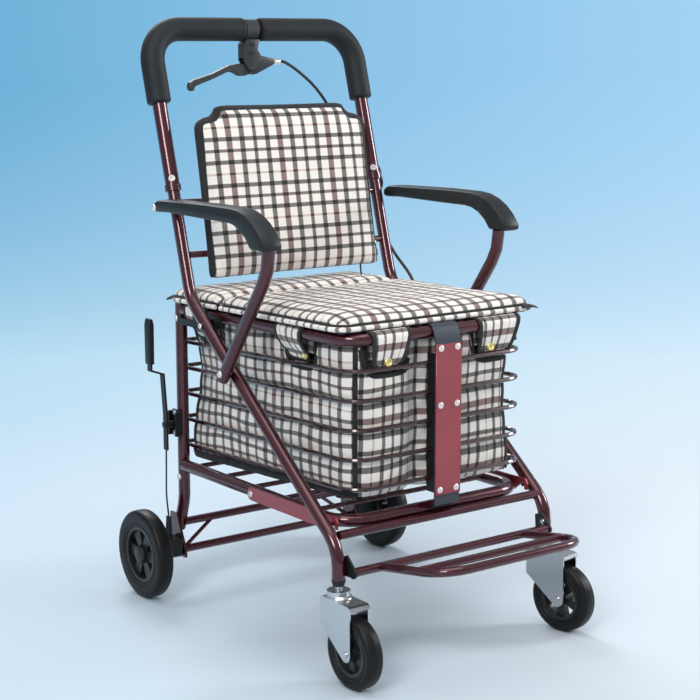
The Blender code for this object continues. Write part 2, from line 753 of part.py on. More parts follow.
def backrest():
    height = (BACK_TOP_Z - BACK_BOTTOM_Z) / math.cos(math.atan(BACK_LEAN))
    middle_z = (BACK_TOP_Z + BACK_BOTTOM_Z) / 2
    lean = math.atan(BACK_LEAN)
    normal = Vector((0, -math.cos(lean), math.sin(lean)))
    middle = Vector((0, back_y(middle_z), middle_z)) - normal * BACK_REAR
    up = Vector((0, math.sin(lean), math.cos(lean)))
    place = Matrix.Translation(middle) @ Matrix((Vector((1, 0, 0)), up, normal)).transposed().to_4x4()
    return pad("backrest_cushion", BACK_HALF, height / 2, BACK_REAR + BACK_FRONT, BACK_CROWN,
               0.003, 0.022, (16, 14), place)


def backrest_bars():
    """The bar under the pad's lower part, and the bowed one behind its upper part."""
    bars = []
    for name, z, inset in (("backrest_bar_lower", BACK_BAR_LOW_Z, 0.018),
                           ("backrest_bar_upper", BACK_BAR_HIGH_Z, 0.040)):
        end = (SIDE_INNER_X - SEAT_GAP * 2, upper_y(z), z)
        y = back_y(z) + (BACK_REAR + SEAT_GAP + BACK_BAR_R) / math.cos(math.atan(BACK_LEAN))
        x = BACK_HALF - inset
        points = [(-end[0], end[1], z), (-x, y, z), (x, y, z), end]
        bars.append(sweep(name, rounded(points, 0.02), BACK_BAR_R, ROD_SIDES + 2))
    return bars


def side_tubes():
    """The long bent tube each side, with the fold pivot's head and the stay's pin."""
    top = Vector((SIDE_X, COLLAR_Y, COLLAR_Z)) + SLIDE_AXIS * INNER_LENGTH
    points = [(SIDE_X, LEG_BOTTOM_Y, LEG_BOTTOM_Z), (SIDE_X, LEG_BOTTOM_Y, LOWER_BEND_Z),
              (SIDE_X, UPPER_BEND_Y, UPPER_BEND_Z), top]
    path = rounded(points, [0, LOWER_BEND_R, UPPER_BEND_R, 0])
    tube = sweep("side_tube_right", path, TUBE_R)
    head = turned("head", [(0, TUBE_R - 0.002), (0.0060, TUBE_R - 0.002), (0.0055, TUBE_R + 0.0018),
                           (0, TUBE_R + 0.0028)], (SIDE_X, PIVOT_Y, PIVOT_Z), "X", TUBE_SIDES)
    pin = cylinder("pin", (FLOOR_X + TUBE_R + SEAT_GAP * 2, STAY_PIN_Y, STAY_PIN_Z),
                   (SIDE_X, STAY_PIN_Y, STAY_PIN_Z), STAY_PIN_R, ROD_SIDES)
    right = combine_named("side_tube_right", tube, [head, pin])
    return [right, mirrored(right, "side_tube_left")]


def arm_tubes():
    """The bent tube from the armrest's front down to the outside of the side tube."""
    x = SIDE_OUTER_X + TUBE_R + SEAT_GAP
    points = [(x, ARM_TUBE_Y, ARM_TIP_Z - SEAT_GAP), (x, ARM_TUBE_Y, ARM_TUBE_BEND_Z),
              (x, ARM_END_Y, ARM_END_Z)]
    right = sweep("armrest_tube_right", rounded(points, ARM_TUBE_BEND_R), TUBE_R)
    return [right, mirrored(right, "armrest_tube_left")]


def arm_pads():
    """The moulded pad: a long flat top that turns down at the front in a wide bend, over the tube."""
    inner = SIDE_OUTER_X + SEAT_GAP
    top, tip = ARM_TOP_Z, ARM_TIP_Z
    under = top - ARM_THICKNESS
    outline = [(ARM_REAR_Y, ARM_REAR_Z - 0.008), (ARM_REAR_Y + 0.002, ARM_REAR_Z + 0.004),
               (ARM_REAR_Y - 0.010, ARM_REAR_Z + 0.0105), (-0.088, top - 0.003), (-0.200, top)]
    outline += arc((ARM_BEND_Y, top - ARM_BEND_R), ARM_BEND_R, 90, 146, 5)
    outline += [(ARM_TIP_FRONT_Y, tip), (ARM_TIP_REAR_Y, tip)]
    fall = math.asin((tip - under + ARM_INNER_R) / ARM_INNER_R)
    hollow = (ARM_TIP_REAR_Y + ARM_INNER_R * math.cos(fall), under - ARM_INNER_R)
    outline += arc(hollow, ARM_INNER_R, 180 - math.degrees(fall), 90, 4)[1:]
    outline += [(-0.200, under), (-0.088, under + 0.001)]
    right = prism("armrest_pad_right", outline, "YZ", inner, ARM_OUTER_X)
    soften(right, 0.0055, 2, 50)
    return [right, mirrored(right, "armrest_pad_left")]


def front_crossbar():
    y, z = LEG_BOTTOM_Y + 0.0133, LOWER_BEND_Z + 0.0140
    end = SIDE_INNER_X - SEAT_GAP
    return cylinder("front_crossbar", (-end, y, z), (end, y, z), CROSS_R, ROD_SIDES + 2)


def footrest_brackets():
    """The black three-cornered plate inside each leg that carries the footrest's pivot."""
    outer = SIDE_INNER_X - SEAT_GAP
    eye = arc((FOOT_PIVOT_Y, FOOT_PIVOT_Z), FOOT_EYE_R, 165, 300, 5)
    outline = [(LEG_BOTTOM_Y + 0.008, FOOT_PLATE_TOP_Z - 0.006), (LEG_BOTTOM_Y - 0.005, FOOT_PLATE_TOP_Z)]
    outline += eye
    outline += [(LEG_BOTTOM_Y + 0.006, FOOT_PIVOT_Z - FOOT_EYE_R)]
    right = prism("footrest_bracket_right", outline, "YZ", outer - FOOT_PLATE_T, outer)
    return [right, mirrored(right, "footrest_bracket_left")]


def footrest():
    """The swinging footrest: a pivot bar, a middle bar and a U with large front corners."""
    def along(y):
        return FOOT_PIVOT_Z + FOOT_RISE * (FOOT_PIVOT_Y - y)

    front = -FOOT_REACH
    end = SIDE_INNER_X - FOOT_PLATE_T - SEAT_GAP * 2
    bar = cylinder("footrest", (-end, FOOT_PIVOT_Y, FOOT_PIVOT_Z), (end, FOOT_PIVOT_Y, FOOT_PIVOT_Z),
                   CROSS_R, ROD_SIDES + 2)
    loop = [(-FOOT_HALF, FOOT_PIVOT_Y, FOOT_PIVOT_Z), (-FOOT_HALF, front, along(front)),
            (FOOT_HALF, front, along(front)), (FOOT_HALF, FOOT_PIVOT_Y, FOOT_PIVOT_Z)]
    u_tube = sweep("loop", rounded(loop, FOOT_CORNER_R), CROSS_R, ROD_SIDES + 2)
    middle = cylinder("middle", (-FOOT_HALF, FOOT_MIDDLE_Y, along(FOOT_MIDDLE_Y)),
                      (FOOT_HALF, FOOT_MIDDLE_Y, along(FOOT_MIDDLE_Y)), CROSS_R * 0.95, ROD_SIDES)
    return combine(bar, [u_tube, middle])


def stays():
    """The flat stay each side: pivoted on the floor frame, its front end hooked over the leg's pin."""
    inner = FLOOR_X + TUBE_R + SEAT_GAP * 3
    half = STAY_WIDTH / 2
    slot = STAY_PIN_R + 0.0006
    pivot_z = floor_z(STAY_PIVOT_Y)
    drop = STAY_PIN_Z - pivot_z
    low = pivot_z - half + drop * 0.5
    outline = arc((STAY_PIVOT_Y, pivot_z), half, 90, -90, 5)
    outline += [(STAY_PIN_Y + 0.020, low), (STAY_PIN_Y + slot + 0.001, STAY_PIN_Z)]
    outline += arc((STAY_PIN_Y, STAY_PIN_Z), slot, 0, 180, 5)
    outline += [(STAY_PIN_Y - slot, STAY_PIN_Z - 0.006), (STAY_PIN_Y - slot - 0.005, STAY_PIN_Z - 0.007)]
    outline += [(STAY_PIN_Y - slot - 0.007, STAY_PIN_Z + 0.003), (STAY_PIN_Y - slot - 0.002, STAY_PIN_Z + half)]
    plate = prism("side_stay_right", outline, "YZ", inner, inner + PLATE_T)
    return [plate, mirrored(plate, "side_stay_left")]


def handle_path():
    """From the right leg's lower end, over the top, to the left leg's lower end."""
    return rounded([(SIDE_X, COLLAR_Y, COLLAR_Z), (SIDE_X, HANDLE_TOP_Y, HANDLE_TOP_Z),
                    (-SIDE_X, HANDLE_TOP_Y, HANDLE_TOP_Z), (-SIDE_X, COLLAR_Y, COLLAR_Z)],
                   HANDLE_CORNER_R)


def handle_tube():
    tube = sweep("handle_tube", handle_path(), HANDLE_R, TUBE_SIDES)
    collars = []
    bores = []
    for side in (-1, 1):
        start = Vector((side * SIDE_X, COLLAR_Y, COLLAR_Z))
        collars.append(cylinder("collar", start, start + SLIDE_AXIS * COLLAR_LENGTH, HANDLE_R + COLLAR_WALL))
        bores.append(cylinder("bore", start - SLIDE_AXIS * 0.01,
                              start + SLIDE_AXIS * (INNER_LENGTH + 0.006), TUBE_R + SLIDE_GAP, TUBE_SIDES))
    combine(tube, collars)
    return combine(tube, bores, "DIFFERENCE")


def grips():
    """The soft sleeve over each corner of the handle, with the same bends as the tube."""
    sleeves = []
    for side, sign, inner_x in (("right", 1, GRIP_RIGHT_X), ("left", -1, GRIP_LEFT_X)):
        points = [(sign * SIDE_X, upper_y(GRIP_END_Z), GRIP_END_Z),
                  (sign * SIDE_X, HANDLE_TOP_Y, HANDLE_TOP_Z), (inner_x, HANDLE_TOP_Y, HANDLE_TOP_Z)]
        sleeves.append(sweep(f"handle_grip_{side}", rounded(points, HANDLE_CORNER_R), GRIP_R, 16,
                             bore=HANDLE_R + SEAT_GAP * 2))
    return sleeves


def brake_clamp():
    """The lever's carrier: a ring on the handle tube, one casting below it with a slot, and the adjuster."""
    y = HANDLE_TOP_Y
    z = HANDLE_TOP_Z
    inner = HANDLE_R + SEAT_GAP * 2
    ring = turned("brake_clamp", [(inner, -CLAMP_RING_HALF), (inner + 0.0045, -CLAMP_RING_HALF),
                                  (inner + 0.0045, CLAMP_RING_HALF), (inner, CLAMP_RING_HALF)],
                  (CLAMP_RING_X, y, z), "X", 16)
    outline = [(-0.0190, -0.0145), (-0.0195, -0.0198), (-0.0225, -0.0230), (-0.0225, -0.0480),
               (-0.0165, -0.0590), (-0.0075, -0.0712), (0.0020, -0.0697), (0.0345, -0.0552),
               (0.0360, -0.0462), (0.0110, -0.0410), (0.0040, -0.0310), (0.0085, -0.0150)]
    body = prism("body", [(a, z + b) for a, b in outline], "XZ", y - CLAMP_HALF_DEPTH, y + CLAMP_HALF_DEPTH)
    soften(body, 0.0018, 2)
    reach = LEVER_THICK / 2 + SEAT_GAP * 2
    slot = prism("slot", [(LEVER_PIVOT_X - 0.030, LEVER_PIVOT_Z - 0.016),
                          (LEVER_PIVOT_X + LEVER_EYE_R + 0.0015, LEVER_PIVOT_Z - 0.016),
                          (LEVER_PIVOT_X + LEVER_EYE_R + 0.0015, LEVER_PIVOT_Z + LEVER_RISE_ROOM),
                          (LEVER_PIVOT_X - 0.030, LEVER_PIVOT_Z + LEVER_RISE_ROOM)],
                 "XZ", y - reach, y + reach)
    combine(body, [slot], "DIFFERENCE")
    ends = CLAMP_HALF_DEPTH + 0.0010
    pin = cylinder("pin", (LEVER_PIVOT_X, y - ends, LEVER_PIVOT_Z), (LEVER_PIVOT_X, y + ends, LEVER_PIVOT_Z),
                   LEVER_PIN_R, ROD_SIDES)
    adjuster = cylinder("adjuster", (ADJUSTER_FOOT_X, y, z - ADJUSTER_DROP),
                        (ADJUSTER_END_X, y, z - ADJUSTER_DROP), ADJUSTER_R, ROD_SIDES + 4)
    return combine(ring, [body, pin, adjuster])


def brake_lever():
    """The blade: an eye on the pin, a raised knuckle and a long blade with a bulb at its tip."""
    px, pz = LEVER_PIVOT_X, LEVER_PIVOT_Z
    y = HANDLE_TOP_Y
    upper = [(-0.0125, 0.0085), (-0.0260, 0.0078), (-0.0388, 0.0058), (-0.0707, -0.0070), (-0.1050, -0.0163),
             (-0.1112, -0.0200), (-0.1134, -0.0258), (-0.1122, -0.0318), (-0.1082, -0.0340)]
    lower = [(-0.1046, -0.0318), (-0.1024, -0.0259), (-0.0708, -0.0153), (-0.0418, -0.0039),
             (-0.0320, -0.0055), (-0.0215, -0.0110), (-0.0110, -0.0108)]
    outline = arc((px, pz), LEVER_EYE_R, -80, 80, 5) + [(px + a, pz + b) for a, b in upper + lower]
    blade = prism("brake_lever", outline, "XZ", y - LEVER_THICK / 2, y + LEVER_THICK / 2)
    soften(blade, 0.0014)
    hole = cylinder("hole", (px, y - 0.02, pz), (px, y + 0.02, pz), LEVER_PIN_R + SEAT_GAP * 1.5, ROD_SIDES)
    return combine(blade, [hole], "DIFFERENCE")


def parking_brake():
    """The bracket on the left post, the cranked lever bar and its grip."""
    post_face = -(POST_X + TUBE_R + SEAT_GAP)
    bar_outer = -(PARK_BAR_X + PARK_BAR_T / 2)
    bar_inner = -(PARK_BAR_X - PARK_BAR_T / 2)
    low, high = PARK_PIVOT_Z - PARK_PLATE_HALF, PARK_PIVOT_Z + PARK_PLATE_HALF
    plate = box("parking_bracket", (post_face - 0.0025, -0.0120, low), (post_face, 0.0120, high))
    ears = [box("ear", (post_face - 0.0110, s * 0.0105 - 0.0015, low + 0.002),
                (post_face - 0.001, s * 0.0105 + 0.0015, high - 0.002)) for s in (-1, 1)]
    boss = cylinder("boss", (post_face - 0.001, 0, PARK_PIVOT_Z),
                    (bar_inner + SEAT_GAP, 0, PARK_PIVOT_Z), 0.0060)
    bracket = combine(plate, ears + [boss])
    bar_top = PARK_GRIP_TOP_Z - 0.018
    points = [(-PARK_BAR_X, PARK_BAR_FOOT_Z), (-PARK_BAR_X, PARK_PIVOT_Z + 0.016),
              (-PARK_BAR_TOP_X, PARK_KINK_Z), (-PARK_GRIP_X, PARK_KINK_Z + 0.008), (-PARK_GRIP_X, bar_top)]
    half = PARK_BAR_WIDTH / 2
    bar = prism("parking_lever", strip_outline(points, PARK_BAR_T), "XZ", -half, half)
    head = turned("head", [(0, 0), (0.0060, 0), (0.0050, -0.0030), (0, -0.0040)],
                  (bar_outer + 0.0005, 0, PARK_PIVOT_Z), "X", TUBE_SIDES)
    combine(bar, [head])
    side, foot, top = PARK_GRIP_HALF_X, PARK_GRIP_FOOT_Z, PARK_GRIP_TOP_Z
    outline = [(-PARK_GRIP_X - side * 0.9, foot), (-PARK_GRIP_X + side * 0.9, foot),
               (-PARK_GRIP_X + side, top - 0.010), (-PARK_GRIP_X + side * 0.55, top),
               (-PARK_GRIP_X - side * 0.55, top), (-PARK_GRIP_X - side, top - 0.010)]
    grip = prism("parking_grip", outline, "XZ", -PARK_GRIP_HALF_Y, PARK_GRIP_HALF_Y)
    soften(grip, 0.0020, 2)
    reach = PARK_BAR_T / 2 + SEAT_GAP
    slot = box("slot", (-PARK_GRIP_X - reach, -half - SEAT_GAP, foot - 0.015),
               (-PARK_GRIP_X + reach, half + SEAT_GAP, bar_top + SEAT_GAP))
    combine(grip, [slot], "DIFFERENCE")
    return [bracket, bar, grip]


def wheel(prefix, side, centre, radius, width, rim, boss, bore, spokes):
    """A spoked hub with its bore, and the tyre on its rim."""
    half = width / 2
    ring = turned(f"{prefix}_hub_{side}", [(rim - 0.0055, -half * 0.78), (rim, -half * 0.86),
                                           (rim, half * 0.86), (rim - 0.0055, half * 0.78)], centre)
    core = turned("core", [(bore, -half * 0.80), (boss, -half * 0.80),
                           (boss, half * 0.80), (bore, half * 0.80)],
                  centre, "X", 16)
    blades = []
    for k in range(spokes):
        inner_w, outer_w = boss * 0.42, rim * 0.24
        outline = [(-inner_w, boss - 0.0015), (inner_w, boss - 0.0015), (outer_w, rim - 0.0030),
                   (-outer_w, rim - 0.0030)]
        blade = prism("spoke", outline, "YZ", -half * 0.42, half * 0.42)
        turn = Matrix.Rotation(math.tau * (k + 0.5) / spokes, 4, "X")
        blade.data.transform(Matrix.Translation(centre) @ turn)
        blades.append(blade)
    hub = combine(ring, [core] + blades)
    inner = rim + SEAT_GAP
    tyre = turned(f"{prefix}_tyre_{side}", [(inner, -half * 0.88), (inner + 0.004, -half * 0.97),
                                            (radius - 0.010, -half), (radius - 0.002, -half * 0.80),
                                            (radius, -half * 0.40), (radius, half * 0.40),
                                            (radius - 0.002, half * 0.80), (radius - 0.010, half),
                                            (inner + 0.004, half * 0.97), (inner, half * 0.88)], centre)
    return [hub, tyre]


def rear_wheels():
    pieces = []
    for side, sign in (("left", -1), ("right", 1)):
        centre = Vector((sign * (WHEEL_OUTER_X - WHEEL_WIDTH / 2), 0, WHEEL_R))
        pieces += wheel("rear", side, centre, WHEEL_R, WHEEL_WIDTH, WHEEL_R * 0.64, 0.0150,
                        AXLE_R + RUN_GAP, 6)
    return pieces


def axles():
    """The bolt each side from the axle plate out through the brake and the wheel."""
    start = POST_X + TUBE_R - 0.001 + BRACKET_T + SEAT_GAP
    head = WHEEL_OUTER_X - WHEEL_WIDTH / 2 + WHEEL_WIDTH / 2 * 0.80 + SEAT_GAP
    shaft = cylinder("axle_right", (start, 0, WHEEL_R), (head + 0.001, 0, WHEEL_R), AXLE_R * 0.99, 16)
    nut = turned("nut", [(0, 0), (0.0075, 0), (0.0075, 0.0022), (0.0050, 0.0034), (0, 0.0034)],
                 (head, 0, WHEEL_R), "X", 16)
    right = combine_named("axle_right", shaft, [nut])
    return [right, mirrored(right, "axle_left")]


def wheel_brakes():
    """The brake between the axle plate and the wheel: a drum, a mount block and the pull arm."""
    inner = POST_X + TUBE_R - 0.001 + BRACKET_T + SEAT_GAP
    outer = WHEEL_OUTER_X - WHEEL_WIDTH - SEAT_GAP * 4
    drum = turned("wheel_brake_right", [(0, -0.0110), (0.0290, -0.0110), (0.0310, -0.0090),
                                        (0.0310, 0), (0, 0)], (outer, 0, WHEEL_R), "X", 20)
    block = box("block", (inner, -0.0170, WHEEL_R - 0.012), (outer - 0.005, 0.0170, WHEEL_R + 0.018))
    soften(block, 0.0030)
    outline = [(-0.010, WHEEL_R + 0.010), (0.010, WHEEL_R + 0.010), (0.004, 0.1180), (0.004, 0.1240),
               (-0.006, 0.1240), (-0.006, 0.1180)]
    arm = prism("arm", outline, "YZ", SIDE_X - 0.0030, SIDE_X + 0.0010)
    right = combine(drum, [block, arm])
    bore = cylinder("bore", (inner - 0.01, 0, WHEEL_R), (outer + 0.01, 0, WHEEL_R), AXLE_R + SEAT_GAP * 2)
    combine(right, [bore], "DIFFERENCE")
    return [right, mirrored(right, "wheel_brake_left")]


def caster_fork(name, stem_top):
    """The pressed fork about its own swivel axis: stem, cup, bent crown, two cheeks and the axle pin."""
    top, front, rear = FORK_TOP_Z, FORK_FRONT_Y, FORK_REAR_Y
    cup = turned(name, [(0, stem_top), (0.0055, stem_top), (0.0055, CUP_TOP_Z), (CUP_R, CUP_TOP_Z),
                        (CUP_R, top + 0.0040), (CUP_R + 0.003, top + 0.0010), (CUP_R + 0.003, top - 0.001),
                        (0, top - 0.001)], (0, 0, 0), "Z", 16)
    skin = FORK_T + 0.0002
    reach = CASTER_WIDTH / 2 + FORK_GAP
    outer = [(front - 0.0015, top - FORK_LIP), (front + 0.0008, top - 0.0018), (front + 0.006, top),
             (rear - 0.004, top), (rear, top - 0.003), (rear, top - FORK_LIP)]
    inside = [(rear - skin, top - FORK_LIP), (rear - skin, top - 0.0040), (rear - 0.005, top - skin),
              (front + 0.006, top - skin), (front + 0.0028, top - 0.0038), (front + 0.0010, top - FORK_LIP)]
    crown = prism("crown", outer + inside, "YZ", -reach - FORK_T, reach + FORK_T)
    axle = (-CASTER_TRAIL, CASTER_R)
    low_meet = tangent_angle(axle, FORK_EYE_R, (rear, FORK_REAR_Z), -1)
    outline = [(rear - 0.0004, FORK_REAR_Z), (rear - 0.0004, top - 0.004), (rear - 0.0045, top - 0.001),
               (front + 0.006, top - 0.001), (front + 0.0012, top - 0.003)]
    outline += arc(axle, FORK_EYE_R, 180, low_meet % 360, 6)
    cheeks = []
    for way in (-1, 1):
        low, high = sorted((way * reach, way * (reach + FORK_T)))
        cheeks.append(prism("cheek", outline, "YZ", low, high))
    pin = cylinder("pin", (-reach - FORK_T - 0.002, *axle), (reach + FORK_T + 0.002, *axle), 0.0040, 12)
    return combine(cup, [crown] + cheeks + [pin])


def casters():
    """The caster each side: a black socket in the leg, a zinc fork with its stem and cup, hub and tyre."""
    pieces = []
    for side, sign in (("left", -1), ("right", 1)):
        x, y = sign * SIDE_X, LEG_BOTTOM_Y
        socket_top = LEG_BOTTOM_Z - SEAT_GAP
        socket = turned(f"caster_socket_{side}", [(0, 0), (0.0100, 0), (0.0100, -0.0020), (0.0080, -0.0085),
                                                  (0, -0.0085)], (x, y, socket_top), "Z", TUBE_SIDES + 4)
        fork = caster_fork(f"caster_fork_{side}", socket_top - 0.0085 - SEAT_GAP)
        centre = Vector((0, -CASTER_TRAIL, CASTER_R))
        hub, tyre = wheel("caster", side, centre, CASTER_R, CASTER_WIDTH, CASTER_R * 0.66, 0.0120,
                          0.0040 + RUN_GAP, 5)
        turn = Matrix.Rotation(math.radians(CASTER_TURN[side]), 4, "Z")
        for piece in (fork, hub, tyre):
            piece.data.transform(Matrix.Translation((x, y, 0)) @ turn)
        pieces += [socket, fork, hub, tyre]
    return pieces


def smooth_route(points, spacing):
    """Even steps along a Catmull-Rom curve through the route's points."""
    points = [Vector(p) for p in points]
    ends = [points[0] * 2 - points[1]] + points + [points[-1] * 2 - points[-2]]
    dense = []
    for i in range(1, len(ends) - 2):
        a, b, c, d = ends[i - 1:i + 3]
        for k in range(24):
            t = k / 24
            dense.append(0.5 * ((2 * b) + (c - a) * t + (2 * a - 5 * b + 4 * c - d) * t * t
                                + (3 * b - a - 3 * c + d) * t ** 3))
    dense.append(points[-1])
    total = sum((q - p).length for p, q in zip(dense, dense[1:]))
    steps = max(2, round(total / spacing))
    route = [dense[0]]
    gone = 0.0
    for p, q in zip(dense, dense[1:]):
        length = (q - p).length
        while len(route) < steps and gone + length >= total * len(route) / steps:
            share = (total * len(route) / steps - gone) / length
            route.append(p.lerp(q, share))
        gone += length
    route.append(dense[-1])
    return route


def cable(name, points, radius, spacing):
    """A cable as a round curve with closed ends."""
    data = bpy.data.curves.new(name, "CURVE")
    data.dimensions = "3D"
    data.bevel_depth = radius
    data.bevel_resolution = 2
    data.use_fill_caps = True
    route = smooth_route(points, spacing)
    spline = data.splines.new("POLY")
    spline.points.add(len(route) - 1)
    for spot, p in zip(spline.points, route):
        spot.co = (*p, 1)
    made = bpy.data.objects.new(name, data)
    bpy.context.scene.collection.objects.link(made)
    return made


def cables():
    """The hand brake's cable in two lengths that meet at the right upright, and the parking brake's."""
    clip = Vector((SIDE_X + 0.0180, upper_y(CLIP_Z) + 0.0060, CLIP_Z))
    drop = HANDLE_TOP_Z - CLIP_Z
    way = ((0.0660, 0.0, 0.7740), (0.0880, -0.001, 0.7180), (0.1180, -0.004, 0.6134),
           (0.1440, -0.008, 0.4706), (0.1670, -0.014, 0.2941), (0.1870, -0.0303, 0.2101),
           (0.2040, -0.0433, 0.1218))
    upper = [(ADJUSTER_END_X + reach, HANDLE_TOP_Y, HANDLE_TOP_Z - ADJUSTER_DROP)
             for reach in (SEAT_GAP, 0.0060)]
    upper += [(x, HANDLE_TOP_Y + y, CLIP_Z + drop * share) for x, y, share in way]
    upper += [clip + SLIDE_AXIS * 0.012, clip]
    lower = [clip - SLIDE_AXIS * 0.0006, clip - SLIDE_AXIS * 0.015, (0.2090, -0.0180, 0.5850),
             (0.2090, -0.0650, 0.5300), (0.2100, -0.1190, 0.4834), (0.2140, -0.1220, 0.4300),
             (0.2120, -0.0900, 0.3500), (0.2060, -0.0450, 0.2500), (0.1950, -0.0110, 0.1750),
             (SIDE_X - 0.001, -0.001, 0.1400), (SIDE_X - 0.001, -0.001, 0.1243)]
    park = [(-PARK_BAR_X, 0, PARK_BAR_FOOT_Z - SEAT_GAP), (-PARK_BAR_X, 0.0010, 0.2000),
            (-SIDE_X - 0.001, 0.0010, 0.1600), (-SIDE_X + 0.001, -0.001, 0.1243)]
    return [cable("brake_cable_upper", upper, CABLE_R, 0.010),
            cable("brake_cable_lower", lower, CABLE_R, 0.014),
            cable("parking_cable", park, THIN_CABLE_R, 0.010)]


def place_all(pieces, kinds, pivots):
    """Gives each piece its finish and puts its origin on its joint's axis, under the walker empty."""
    walker = bpy.data.objects.new("walker", None)
    walker.location = (0, REAR_AXLE_Y, 0)
    bpy.context.scene.collection.objects.link(walker)
    for piece in pieces:
        piece.data.name = piece.name
        kind = next((k for k, names in kinds.items() if any(piece.name.startswith(n) for n in names)), "black")
        piece.data.materials.clear()
        piece.data.materials.append(finish_of(piece.name, kind))
        origin = next((Vector(p) for n, p in pivots.items() if piece.name.startswith(n)), Vector())
        if piece.type == "MESH":
            piece.data.transform(Matrix.Translation(-origin))
            piece.data.shade_smooth()
            piece.data.set_sharp_from_angle(angle=math.radians(35))
            piece.location = origin
        piece.parent = walker


KINDS = {
    "rose": ("front_plate", "side_stay"),
    "zinc": ("caster_fork", "axle_"),
    "tyre": ("rear_tyre", "caster_tyre"),
    "cloth": ("seat_cushion", "backrest_cushion", "shopping_bag"),
    "board": ("seat_board",),
    "black_metal": ("side_bracket", "front_backing", "parking_bracket", "parking_lever",
                    "wheel_brake", "footrest_bracket", "brake_clamp", "brake_lever"),
    "burgundy": ("rear_frame", "floor_frame", "seat_frame", "basket_rail", "side_tube", "armrest_tube",
                 "backrest_bar", "front_crossbar", "footrest", "handle_tube"),
}

FOLD = (0, PIVOT_Y, PIVOT_Z)
WHEEL_X = WHEEL_OUTER_X - WHEEL_WIDTH / 2
PIVOTS = {
    "side_tube": FOLD, "armrest": FOLD, "backrest": FOLD, "front_crossbar": FOLD,
    "footrest_bracket": FOLD, "caster_socket": FOLD,
    "footrest": (0, FOOT_PIVOT_Y, FOOT_PIVOT_Z),
    "side_stay": (0, STAY_PIVOT_Y, floor_z(STAY_PIVOT_Y)),
    "handle": (0, COLLAR_Y, COLLAR_Z), "brake_clamp": (0, COLLAR_Y, COLLAR_Z),
    "brake_lever": (LEVER_PIVOT_X, HANDLE_TOP_Y, LEVER_PIVOT_Z),
    "parking_lever": (-PARK_BAR_X, 0, PARK_PIVOT_Z), "parking_grip": (-PARK_BAR_X, 0, PARK_PIVOT_Z),
    "seat_board_front": (0, SEAT_SEAM_Y, 0), "seat_cushion_front": (0, SEAT_SEAM_Y, 0),
    "rear_hub_left": (-WHEEL_X, 0, WHEEL_R), "rear_tyre_left": (-WHEEL_X, 0, WHEEL_R),
    "rear_hub_right": (WHEEL_X, 0, WHEEL_R), "rear_tyre_right": (WHEEL_X, 0, WHEEL_R),
    "caster_fork_left": (-SIDE_X, LEG_BOTTOM_Y, 0), "caster_fork_right": (SIDE_X, LEG_BOTTOM_Y, 0),
}


def build():
    clear_scene()
    pieces = [rear_frame(), floor_frame(), seat_frame(), front_backing(), front_plate(), bag(),
              backrest(), front_crossbar(), footrest(), handle_tube(), brake_clamp(), brake_lever()]
    groups = (side_brackets, basket_rails, seat, backrest_bars, side_tubes, arm_tubes, arm_pads,
              footrest_brackets, stays, grips, parking_brake, rear_wheels, axles, wheel_brakes,
              casters, cables)
    for group in groups:
        pieces += group()
    place_all(pieces, KINDS, PIVOTS)


build()
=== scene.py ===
"""Looks of the folding shopping walker: finishes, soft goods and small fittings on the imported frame.

Metres, +Z up, front towards -Y. Lengths along the walker are written from the middle of the rear axle,
and spot() carries a point to its place in the frame.
"""

import json
import math

import bmesh
import bpy
from mathutils import Matrix, Vector, noise
from mathutils.bvhtree import BVHTree


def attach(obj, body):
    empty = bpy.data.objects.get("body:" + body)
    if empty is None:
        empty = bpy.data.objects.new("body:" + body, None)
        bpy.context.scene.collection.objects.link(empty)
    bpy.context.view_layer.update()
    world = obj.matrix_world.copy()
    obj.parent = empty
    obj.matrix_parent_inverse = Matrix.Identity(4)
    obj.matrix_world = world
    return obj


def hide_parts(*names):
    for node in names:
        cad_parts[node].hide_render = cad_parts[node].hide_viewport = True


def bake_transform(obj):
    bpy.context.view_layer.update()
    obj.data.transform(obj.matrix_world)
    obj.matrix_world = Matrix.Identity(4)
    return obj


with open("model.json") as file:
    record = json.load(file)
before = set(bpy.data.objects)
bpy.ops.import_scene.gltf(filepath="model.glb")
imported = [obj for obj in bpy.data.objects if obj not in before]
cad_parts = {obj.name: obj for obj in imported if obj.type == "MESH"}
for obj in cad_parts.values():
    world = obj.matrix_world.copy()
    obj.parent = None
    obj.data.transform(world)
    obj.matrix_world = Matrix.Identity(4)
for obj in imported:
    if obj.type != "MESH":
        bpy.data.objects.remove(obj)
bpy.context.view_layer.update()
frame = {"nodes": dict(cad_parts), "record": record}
scene = bpy.context.scene

# Where the frame's main lines run
AXLE_Y = 0.2787
SIDE_X = 0.1908
POST_X = 0.1593
SEAT_TUBE_X = 0.1605
TUBE_R = 0.0095
SEAT_FRONT_Y = -0.4495
SEAT_FRONT_Z = 0.4690
SEAT_FALL = 0.027
LEG_Y = -0.4670
HANDLE_Y = 0.0318
HANDLE_Z = 0.8880
COLLAR_Y = -0.0384
COLLAR_Z = 0.6450
UPPER_LEAN = 0.289
BACK_LEAN = 0.181
WHEEL_R = 0.0700
WHEEL_X = 0.2324
CASTER_R = 0.0508
CASTER_TRAIL = 0.0380
TYRE_WIDE = 0.0260
RIM_GAP = 0.0003
CASTER_TURNS = {"left": 0.0, "right": 10.0}
PIVOT = (-0.128, 0.4505)
PARK_X = 0.1912
CABLE_START = (0.0513, HANDLE_Z - 0.0505)
BOTH_SIDES = ((-1, "left"), (1, "right"))

# The front strap is blued ahead of this line, and above this height
STRAP_FACE_Y = -0.1862
STRAP_TOP_Z = 0.4550

CHECK_WIDE = 0.0232
CHECK_SHORT = 0.0178
